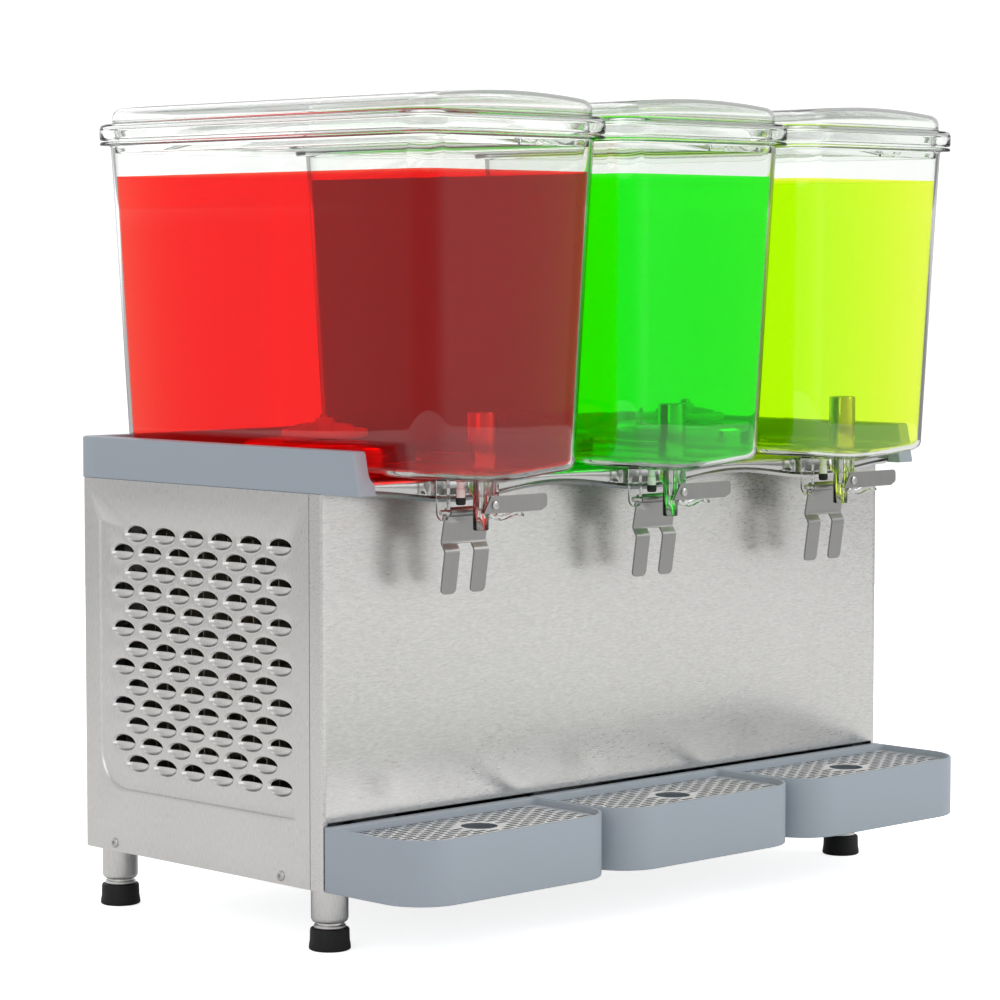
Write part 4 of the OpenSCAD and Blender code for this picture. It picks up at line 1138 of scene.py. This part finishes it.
def weight_shape(i):
    top, low, r = 392, 350.3, 10.5
    return Shape().revolve(
        [(0, 322), (2.4, 322), (3, 322.8), (3, low), (r - 1.0, low), (r - 0.2, low + 0.4),
         (r, low + 1.2), (r, top - 1.4), (r - 0.3, top - 0.5), (r - 1.2, top), (3.5, top),
         (3.0, top - 0.4), (2.6, top - 1.6), (0, top - 2.0)],
        (station_x(i), TAP_Y, 0), steps=56)


def buffer_shapes(i):
    x, y = station_x(i) - 14.4, -139
    joint = 329.8
    rod = Shape().revolve([(0, joint), (3.2, joint), (3.2, 336), (2.7, 336.6), (2.7, 340),
                           (3.2, 340.6), (3.2, 344), (0, 344)], (x, y, 0), steps=28)
    tip = Shape().revolve([(0, 324.4), (2.6, 324.4), (3.4, 325.0), (3.7, 326.4), (3.7, 328.8),
                           (3.2, joint), (0, joint)], (x, y, 0), steps=28)
    return rod, tip


for i in STATIONS:
    piece(f"valve_weight_{i}_turned", weight_shape(i), polished, f"valve_{i}",
          replaces=f"valve_weight_{i}", smooth=35)
    piece(f"cup_lever_{i}_sheet", cup_lever_shape(i), lever_steel, f"lever_{i}",
          replaces=f"cup_lever_{i}", thick=1.5, facing=(0, -1, 0.2), smooth=50)
    piece(f"cup_lever_{i}_eye", eye_shape(i), lever_steel, f"lever_{i}")
    piece(f"hand_lever_{i}_plate", hand_lever_shape(i), lever_steel, f"handle_{i}",
          replaces=f"hand_lever_{i}", bevel=0.35)
    piece(f"hand_lever_{i}_clip", clip_shape(i), clear_plastic, f"handle_{i}",
          bevel=0.3)
    piece(f"tap_pins_{i}_turned", pins_shape(i), screw_steel, f"bowl_{i}",
          replaces=f"tap_pins_{i}", smooth=35)
    rod, tip = buffer_shapes(i)
    piece(f"lever_buffer_{i}_rod", rod, white_plastic, f"bowl_{i}", replaces=f"lever_buffer_{i}",
          smooth=35)
    piece(f"lever_buffer_{i}_tip", tip, black_rubber, f"bowl_{i}", smooth=35)

# ---- Drip trays ----


def tray_loop(i, z, grow, rear=None):
    low, high = corners(f"drip_tray_{i}")
    r = 37 + grow
    x1, x2 = low.x - grow, high.x + grow
    y1, y2 = low.y - grow, (high.y + grow if rear is None else rear)
    loop = []
    for k in range(13):
        a = math.radians(180 + 90 * k / 12)
        loop.append((x1 + r + r * math.cos(a), y1 + r + r * math.sin(a), z))
    for k in range(1, 6):
        loop.append((x1 + r + (x2 - x1 - 2 * r) * k / 6, y1, z))
    for k in range(13):
        a = math.radians(270 + 90 * k / 12)
        loop.append((x2 - r + r * math.cos(a), y1 + r + r * math.sin(a), z))
    back = 1.5
    for cx, start in ((x2 - back, 0), (x1 + back, 90)):
        for k in range(4):
            a = math.radians(start + 30 * k)
            loop.append((cx + back * math.cos(a), y2 - back + back * math.sin(a), z))
    return loop


def tray_shape(i):
    low, high = corners(f"drip_tray_{i}")
    top, base = high.z, low.z
    wall, rear_wall = 2.5, 11
    inside = high.y - rear_wall
    ledge = top - 5.6
    rings = [tray_loop(i, base, -1.4), tray_loop(i, base + 0.2, -0.7),
             tray_loop(i, base + 0.7, -0.2), tray_loop(i, base + 1.5, 0),
             tray_loop(i, top - 1.1, 0), tray_loop(i, top - 0.3, -0.3),
             tray_loop(i, top, -0.9),
             tray_loop(i, top, -1.7, inside + 0.8), tray_loop(i, top - 0.3, -2.3, inside + 0.2),
             tray_loop(i, top - 1.0, -wall, inside), tray_loop(i, ledge, -wall, inside),
             tray_loop(i, ledge, -wall - 3, inside - 3),
             tray_loop(i, ledge - 0.6, -wall - 3, inside - 3),
             tray_loop(i, base + 7, -wall - 3, inside - 3),
             tray_loop(i, base + 3.5, -wall - 4.5, inside - 4.5),
             tray_loop(i, base + wall, -wall - 8, inside - 8)]
    return Shape().loft(rings, ends="az")


def grate_shape(i):
    low, high = corners(f"drip_grate_{i}")
    x1, x2, y1, y2 = low.x, high.x, low.y, high.y
    top = high.z
    cx, cy = (x1 + x2) / 2, (y1 + y2) / 2
    r = 34

    def edge(grow, z):
        loop = []
        for k in range(11):
            a = math.radians(180 + 9 * k)
            loop.append((x1 - grow + (r + grow) * (1 + math.cos(a)),
                         y1 - grow + (r + grow) * (1 + math.sin(a)), z))
        for k in range(11):
            a = math.radians(270 + 9 * k)
            loop.append((x2 + grow + (r + grow) * (math.cos(a) - 1),
                         y1 - grow + (r + grow) * (1 + math.sin(a)), z))
        return loop + [(x2 + grow, y2 + grow, z), (x1 - grow, y2 + grow, z)]

    field = edge(-2.0, 0)
    slot_w, slot_h, pitch_x, pitch_y = 12.4, 3.4, 15.4, 5.5
    holes = []
    for row in range(15):
        for col in range(13):
            x = cx + (col - 6 + (row % 2) / 2) * pitch_x
            y = cy + (row - 7) * pitch_y
            if math.hypot(x - cx, y - cy) < 20:
                continue
            if x - slot_w / 2 < x1 + 4 or x + slot_w / 2 > x2 - 4 or not y1 + 4 < y < y2 - 3:
                continue
            tight = False
            for corner in (x1 + r, x2 - r):
                beyond = (x - corner) * (1 if corner > cx else -1) + slot_w / 2
                if beyond > 0 and y < y1 + r and math.hypot(beyond, y1 + r - y) > r - 4:
                    tight = True
            if tight:
                continue
            h, w, c = slot_h / 2, slot_w / 2, 0.9
            holes.append([(x - w + c, y - h), (x + w - c, y - h), (x + w, y - h + c),
                          (x + w, y + h - c), (x + w - c, y + h), (x - w + c, y + h),
                          (x - w, y + h - c), (x - w, y - h + c)])
    holes.append([(cx + 13.5 * math.cos(a), cy + 13.5 * math.sin(a))
                  for a in (2 * math.pi * k / 40 for k in range(40))])
    points, faces = flat_faces([[(p[0], p[1]) for p in field]] + holes)
    shape = Shape().add([(p[0], p[1], top - 0.2) for p in points], faces)
    shape.loft([edge(-2.0, top - 0.2), edge(-1.2, top - 0.05), edge(-0.5, top - 0.1),
                edge(0, top - 0.6)])
    return shape


for i in STATIONS:
    piece(f"drip_tray_{i}_moulding", tray_shape(i), grey_plastic, f"tray_{i}",
          replaces=f"drip_tray_{i}", smooth=40)
    piece(f"drip_grate_{i}_sheet", grate_shape(i), grate_steel, f"grate_{i}",
          replaces=f"drip_grate_{i}", thick=1.0, facing=(0, 0, 1), smooth=40)

# ---- Finishes of the CAD nodes that stay ----

FINISH = {
    "base_pan": zinc, "frame_bars": painted, "rear_panel": brushed_side,
    "agitator_motors": zinc, "compressor": enamel, "condenser": fins, "fan_shroud": painted,
    "fan_motor": black_plastic, "fan_blade": fan_metal, "refrigerant_lines": copper,
    "tray_brackets": zinc, "cord_gland": black_rubber, "control_plate": black_plastic,
    "thermostat_knob": black_plastic, "power_switch": switch_plastic,
    "cooling_switch": switch_plastic, "stirring_switch": switch_plastic,
    "drive_rotor_1": magnet, "drive_rotor_2": magnet, "drive_rotor_3": magnet,
}
for node, finish in FINISH.items():
    thing = nodes[node]
    for k in range(len(thing.material_slots)):
        thing.material_slots[k].material = finish
